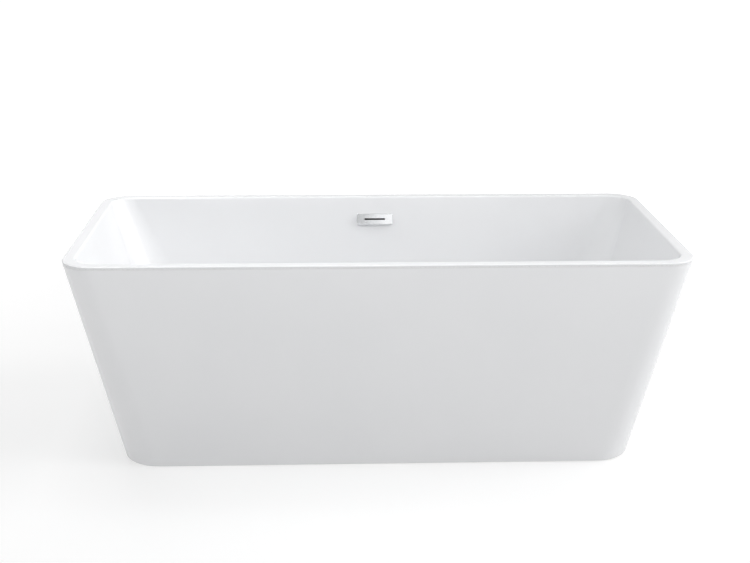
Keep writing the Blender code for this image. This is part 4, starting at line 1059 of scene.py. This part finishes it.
def make_flange(axis):
    """Drain flange with the cross that holds the stopper."""
    low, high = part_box("drain_flange")
    under = high.z - 0.003
    outer = (high.x - low.x) / 2
    tube = 0.024
    corners = [
        (DRAIN_BORE, high.z - 0.0012, 0.0),
        (0.0235, high.z - 0.0004, 0.0012),
        (0.0305, high.z, 0.002),
        (outer - 0.0012, high.z - 0.0003, 0.0008),
        (outer, under + 0.0006, 0.0005),
        (outer, under, 0.0002),
        (tube, under, 0.0),
        (tube, low.z, 0.0004),
        (DRAIN_BORE, low.z, 0.0004),
    ]
    chrome = (LOOKS["chrome"],)
    flange = turned("drain_flange_ring", rounded(corners), chrome, closed=True, transform=axis)
    place = (0, DRAIN.y, low.z + 0.006)
    long, thick = 0.045, 0.004
    joined = [
        box_cutter("cross_x", (long, thick, thick), place),
        box_cutter("cross_y", (thick, long, thick), place),
        round_cutter("cross_hub", 0.0080, thick, place, columns=32),
    ]
    combine(flange, joined, "UNION")
    combine(flange, [round_cutter("cross_bore", 0.0053, 0.02, place, columns=32)])
    settle(flange, "tub", "chrome", "drain_flange")


def make_stopper(axis):
    """Click-clack stopper: domed cap, seal and plunger, and the cartridge that they move in."""
    low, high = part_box("stopper_cap")
    outer = (high.x - low.x) / 2
    shoulder = 0.94 * outer
    crown = 0.0022
    edge = high.z - 0.0050
    skirt = 0.008
    bore = 0.0032
    rows = [(0, high.z)]
    rows += [(shoulder * i / 12, high.z - crown * (i / 12) ** 3) for i in range(1, 13)]
    corners = [
        (shoulder, high.z - crown, 0.0),
        (outer, high.z - crown - 0.0006, 0.0010),
        (outer, edge, 0.0007),
        (skirt, edge, 0.0),
    ]
    rows += rounded(corners, closed=False)[1:]
    rows += [(skirt, low.z + 0.0004), (skirt - 0.0004, low.z), (bore, low.z)]
    rows += [(bore, edge + 0.0017), (0, edge + 0.0017)]
    turn_node("stopper_cap", "dome", rows, "chrome", axis, "stopper")

    low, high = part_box("stopper_seal")
    outer = (high.x - low.x) / 2
    inner = 0.0083
    corners = [
        (inner, high.z, 0.0002),
        (outer - 0.003, high.z, 0.0006),
        (outer, low.z + 0.0011, 0.0004),
        (outer - 0.0006, low.z, 0.0003),
        (inner, low.z, 0.0002),
    ]
    turn_node("stopper_seal", "ring", rounded(corners), "black_rubber", axis, "stopper", closed=True)

    low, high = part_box("stopper_plunger")
    radius = 0.0029
    ease = 0.0003
    rows = [(0, high.z), (radius - ease, high.z), (radius, high.z - ease)]
    for step in range(1, 5):
        groove = high.z - 0.006 - 0.0035 * step
        rows += [(radius, groove + 0.0004), (radius - ease, groove + 0.0002)]
        rows += [(radius - ease, groove - 0.0002), (radius, groove - 0.0004)]
    rows += [(radius, low.z + ease), (radius - ease, low.z), (0, low.z)]
    turn_node("stopper_plunger", "rod", rows, "zinc_steel", axis, "stopper", columns=32)

    low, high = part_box("stopper_cartridge")
    bore, radius, wide = 0.0034, 0.0050, 0.0070
    collar = low.z + 0.008 + GAP
    collar_top = collar + 0.002
    rows = [(0, low.z + 0.002), (bore, low.z + 0.002), (bore, high.z - ease), (bore + ease, high.z)]
    rows += [(radius - ease, high.z), (radius, high.z - ease), (radius, collar_top)]
    rows += [(wide - ease, collar_top), (wide, collar_top - ease), (wide, collar + ease)]
    rows += [(wide - ease, collar), (radius, collar), (radius, low.z + ease), (radius - ease, low.z)]
    rows += [(0, low.z)]
    turn_node("stopper_cartridge", "body", rows, "brass", axis, columns=48)


def make_tail(axis):
    """Tail pipe, and the slip nut with finger lobes round its outside."""
    low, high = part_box("tail_pipe")
    inner, outer, lip = 0.017, 0.019, 0.021
    corners = [
        (inner, high.z, 0.0004),
        (lip, high.z, 0.0006),
        (lip, high.z - 0.004, 0.0004),
        (outer, high.z - 0.004, 0.0),
        (outer, low.z, 0.0005),
        (inner, low.z, 0.0005),
    ]
    turn_node("tail_pipe", "tube", rounded(corners), "white_plastic", axis, closed=True)

    low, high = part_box("tail_nut")
    outer = (high.x - low.x) / 2
    thread, hole = 0.0213, 0.0193
    lip = low.z + 0.004
    ease = 0.0006

    def lobed(height, inset):
        def at(angle):
            wave = math.cos(10 * angle)
            return outer - inset - 0.0018 * max(0.0, -wave) ** 1.5, height

        return at

    rows = [(thread, lip), (thread, high.z - ease), (thread + ease, high.z)]
    rows += [lobed(high.z - drop, inset) for drop, inset in ((0, 0.0016), (0.0005, 0.0004), (0.0012, 0))]
    rows += [lobed(low.z + rise, inset) for rise, inset in ((0.0012, 0), (0.0005, 0.0004), (0, 0.0016))]
    rows += [(hole + ease, low.z), (hole, low.z + ease), (hole, lip)]
    turn_node("tail_nut", "grip", rows, "black_plastic", axis, closed=True, columns=120)


def make_shoe(axis):
    """Drain shoe with its side branch, eased edges and stiffening ribs under the flange."""
    low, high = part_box("drain_shoe")
    flange = (high.x - low.x) / 2
    inner, neck, neck_bore = 0.025, 0.021, 0.018
    under = high.z - 0.003
    bottom = low.z + 0.018
    corners = [
        (inner, high.z, 0.0004),
        (flange, high.z, 0.0006),
        (flange, under, 0.0006),
        (SHOE_RADIUS, under, 0.0010),
        (SHOE_RADIUS, bottom, 0.0020),
        (neck, bottom, 0.0008),
        (neck, low.z, 0.0005),
        (neck_bore, low.z, 0.0005),
        (neck_bore, bottom + 0.004, 0.0006),
        (inner, bottom + 0.004, 0.0010),
    ]
    rows = rounded(corners, steps=4)
    plastic = (LOOKS["black_plastic"],)
    shoe = turned("drain_shoe_body", rows, plastic, closed=True, transform=axis)
    start = DRAIN.y + (inner + SHOE_RADIUS) / 2
    middle = (0, (start + high.y) / 2, BRANCH_LEVEL)
    joined = [round_cutter("branch", SPIGOT_RADIUS, high.y - start, middle, "Y", 40)]
    for index in range(8):
        angle = math.pi * (index + 0.5) / 4
        rib = box_cutter("rib", (0.0085, 0.0022, 0.012), (0, 0, 0))
        place = Matrix.Translation((0, DRAIN.y, high.z - 0.008)) @ Matrix.Rotation(angle, 4, "Z")
        rib.data.transform(place @ Matrix.Translation((0.0325, 0, 0)))
        joined.append(rib)
    combine(shoe, joined, "UNION")
    middle = (0, DRAIN.y + 0.060, BRANCH_LEVEL)
    combine(shoe, [round_cutter("passage", SPIGOT_BORE, 0.070, middle, "Y", 40)])
    settle(shoe, "tub", "black_plastic", "drain_shoe")


def make_spring():
    """The stopper's return spring, which lengthens between the cartridge and the plunger."""
    low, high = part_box("stopper_spring")
    wire = 0.00035
    coil = 0.0024
    turns = 5
    count = turns * 32
    rise = high.z - low.z - 2 * wire
    points = []
    for i in range(count + 1):
        angle = 2 * math.pi * turns * i / count
        across = DRAIN.y + coil * math.sin(angle)
        points.append(Vector((coil * math.cos(angle), across, low.z + wire + rise * i / count)))
    shape = bmesh.new()
    sweep(shape, points, lambda share: wire, 10, Vector((0, 0, 1)))
    spring = object_from("stopper_spring_coil", shape, (LOOKS["zinc_steel"],))
    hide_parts("stopper_spring")
    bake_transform(spring)


def make_drain():
    axis = upright("drain_flange")
    make_flange(axis)
    make_stopper(axis)
    make_ring("drain_flange_seal", 0.027, 0.034, 0.0004)
    make_ring("drain_lower_gasket", 0.027, 0.037, 0.0008)
    make_ring("tail_washer", 0.018, 0.021, 0.0005)
    make_tail(axis)
    make_shoe(axis)
    make_spring()


# ---- Overflow ----


def make_overflow_cover():
    """Snap-on cover: a shallow chromed box with eased edges and a round-ended slot."""
    seat = overflow_seat()
    half_x, half_y, depth = COVER_SIZE
    slot_x, slot_y = COVER_SLOT
    high = GAP + depth

    def outline(inset, radius, height):
        return rounded_rectangle(half_x - inset, half_y - inset, radius, height, 10, 0.001)

    sections = [outline(0, COVER_CORNER, GAP)]
    for rise, inset in arc(COVER_EDGE, 0, 90):
        sections.append(outline(inset, COVER_CORNER - inset, high - COVER_EDGE + rise))
    sections.append(outline(COVER_EDGE + 0.0008, COVER_CORNER - COVER_EDGE, high))
    cover = loft("overflow_cover_plate", sections, (LOOKS["chrome"],), transform=seat)
    pocket = [outline(COVER_WALL, COVER_CORNER - COVER_WALL, z) for z in (GAP - 0.01, high - COVER_WALL)]
    slot = [
        rounded_rectangle(slot_x, slot_y, slot_y - 0.0001, z, 10, 0.00005)
        for z in (high - 0.006, high + 0.006)
    ]
    cutters = [
        loft("cover_pocket", pocket, (), transform=seat),
        loft("cover_slot", slot, (), transform=seat),
    ]
    combine(cover, cutters)
    settle(cover, "tub", "chrome", "overflow_cover")


def bezier(a, b, c, d, count):
    """Points along a cubic curve, from a to d."""
    points = []
    for i in range(count + 1):
        t = i / count
        s = 1 - t
        points.append(a * s**3 + b * (3 * s * s * t) + c * (3 * s * t * t) + d * t**3)
    return points


def hose_route():
    """From the overflow's spigot down between the two shells and in to the drain shoe."""
    seat = overflow_seat()
    into = 0.001
    beyond = SPIGOT_LENGTH + 0.006
    spigot = -OVERFLOW_BODY_HEIGHT / 2
    start = seat @ Vector((0, spigot - into, -OVERFLOW_AXIS_DEPTH))
    leave = seat @ Vector((0, spigot - beyond, -OVERFLOW_AXIS_DEPTH))
    down = (leave - start).normalized()
    lean = (WIDTH - BASE_WIDTH) / 2 / HEIGHT
    along_skirt = Vector((0, -lean, -1)).normalized()
    inside = outside_at(HOSE_BEND_HEIGHT, SKIRT_WALL)[1] - HOSE_RADIUS - HOSE_CLEARANCE
    bend = Vector((OVERFLOW_X, inside, HOSE_BEND_HEIGHT))
    shoe = DRAIN.y + SHOE_RADIUS
    arrive = Vector((0, shoe + beyond, BRANCH_LEVEL))
    end = Vector((0, shoe + into, BRANCH_LEVEL))
    run = (leave - bend).length / 3
    drop = 0.7 * (bend.z - arrive.z)
    pull = Vector((0, 0.7 * (bend.y - arrive.y), 0))
    points = [start.lerp(leave, i / 20) for i in range(20)]
    points += bezier(leave, leave + down * run, bend - along_skirt * run, bend, 200)
    points += bezier(bend, bend + along_skirt * drop, arrive + pull, arrive, 150)[1:]
    points += [arrive.lerp(end, i / 20) for i in range(1, 21)]
    return points


def make_hose():
    """Corrugated hose with plain cuffs under worm-drive clamps."""
    route = hose_route()
    length = sum((b - a).length for a, b in zip(route, route[1:]))

    def radius(share):
        gone = share * length
        from_cuff = min(gone, length - gone) - HOSE_CUFF
        if from_cuff < 0:
            return HOSE_RADIUS
        wave = 0.5 - 0.5 * math.cos(2 * math.pi * (gone - HOSE_CUFF) / HOSE_PITCH)
        return HOSE_RADIUS - HOSE_RIPPLE * min(1.0, from_cuff / HOSE_PITCH) * wave

    shape = bmesh.new()
    sweep(shape, route, radius, 28, Vector((1, 0, 0)), inner=HOSE_BORE)
    hose = object_from("overflow_hose_tube", shape, (LOOKS["grey_hose"],), 60)
    settle(hose, "tub", "grey_hose", "overflow_hose")
    make_clamp("hose_clamp_upper", (route[5] - route[0]).normalized())
    make_clamp("hose_clamp_lower", (route[-1] - route[-6]).normalized())


def make_clamp(node, direction):
    """Perforated band with its screw housing at the side."""
    side = Vector((1, 0, 0))
    turn = Matrix((side, direction.cross(side), direction)).transposed().to_4x4()
    half = 0.004
    inner = 0.0098
    outer = 0.0106
    corners = [(inner, half, 0.0002), (outer, half, 0.0003)]
    corners += [(outer, -half, 0.0003), (inner, -half, 0.0002)]
    zinc = (LOOKS["zinc_steel"],)
    band = turned(f"{node}_band", rounded(corners, steps=3), zinc, closed=True)
    ends = (-0.0042, -0.0038, 0.0038, 0.0042)
    housing = [rounded_rectangle(0.0022, 0.0056, 0.0008, z, 4, 0.0002) for z in ends]
    box = loft("clamp_housing", housing, (), transform=Matrix.Translation((outer + 0.0012, 0, 0)))
    rows = [(0, 0.0085), (0.0014, 0.0085), (0.0014, 0.0088), (0.0026, 0.0088)]
    rows += chamfered_hexagon(0.0055, 0.0062, 0.0086)[3:2:-1]
    rows += [(0.0026, 0.0060), (0.0017, 0.0060), (0.0017, -0.0064), (0, -0.0064)]
    across = Matrix.Translation((outer + 0.0014, 0, 0)) @ Matrix.Rotation(math.pi / 2, 4, "X")
    screw = turned("clamp_screw", rows, (), columns=36, transform=across)
    combine(band, [box, screw], "UNION")
    slots = []
    for index in range(24):
        angle = 2 * math.pi * (index + 0.5) / 24
        if abs(math.sin(angle / 2)) >= 0.35:  # none under the housing
            slot = box_cutter("slot", (0.004, 0.0009, 0.0052), (outer, 0, 0))
            slot.data.transform(Matrix.Rotation(angle, 4, "Z"))
            slots.append(slot)
    combine(band, slots)
    band.data.transform(Matrix.Translation(middle_of(node)) @ turn)
    settle(band, "tub", "zinc_steel", node)


# ---- CAD nodes that still show ----

DRESSED_NODES = {
    "overflow_front_gasket": "black_rubber",
    "overflow_rear_gasket": "black_rubber",
    # Black plastic bracket, also made dark so the slot in the cover reads as shade: partly painted shade
    "overflow_bracket": "black_plastic",
    "overflow_screw_left": "zinc_steel",
    "overflow_screw_right": "zinc_steel",
    "overflow_body": "black_plastic",
}


def dress_nodes():
    """Give each of them its procedural material."""
    for node, slot in DRESSED_NODES.items():
        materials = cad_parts[node].data.materials
        materials.clear()
        materials.append(LOOKS[slot])


make_camera()
make_studio()
make_basin()
make_skirt()
make_rim_bead()
make_board()
make_frame()
make_welds()
make_board_screws()
make_feet()
make_drain()
make_overflow_cover()
make_hose()
dress_nodes()
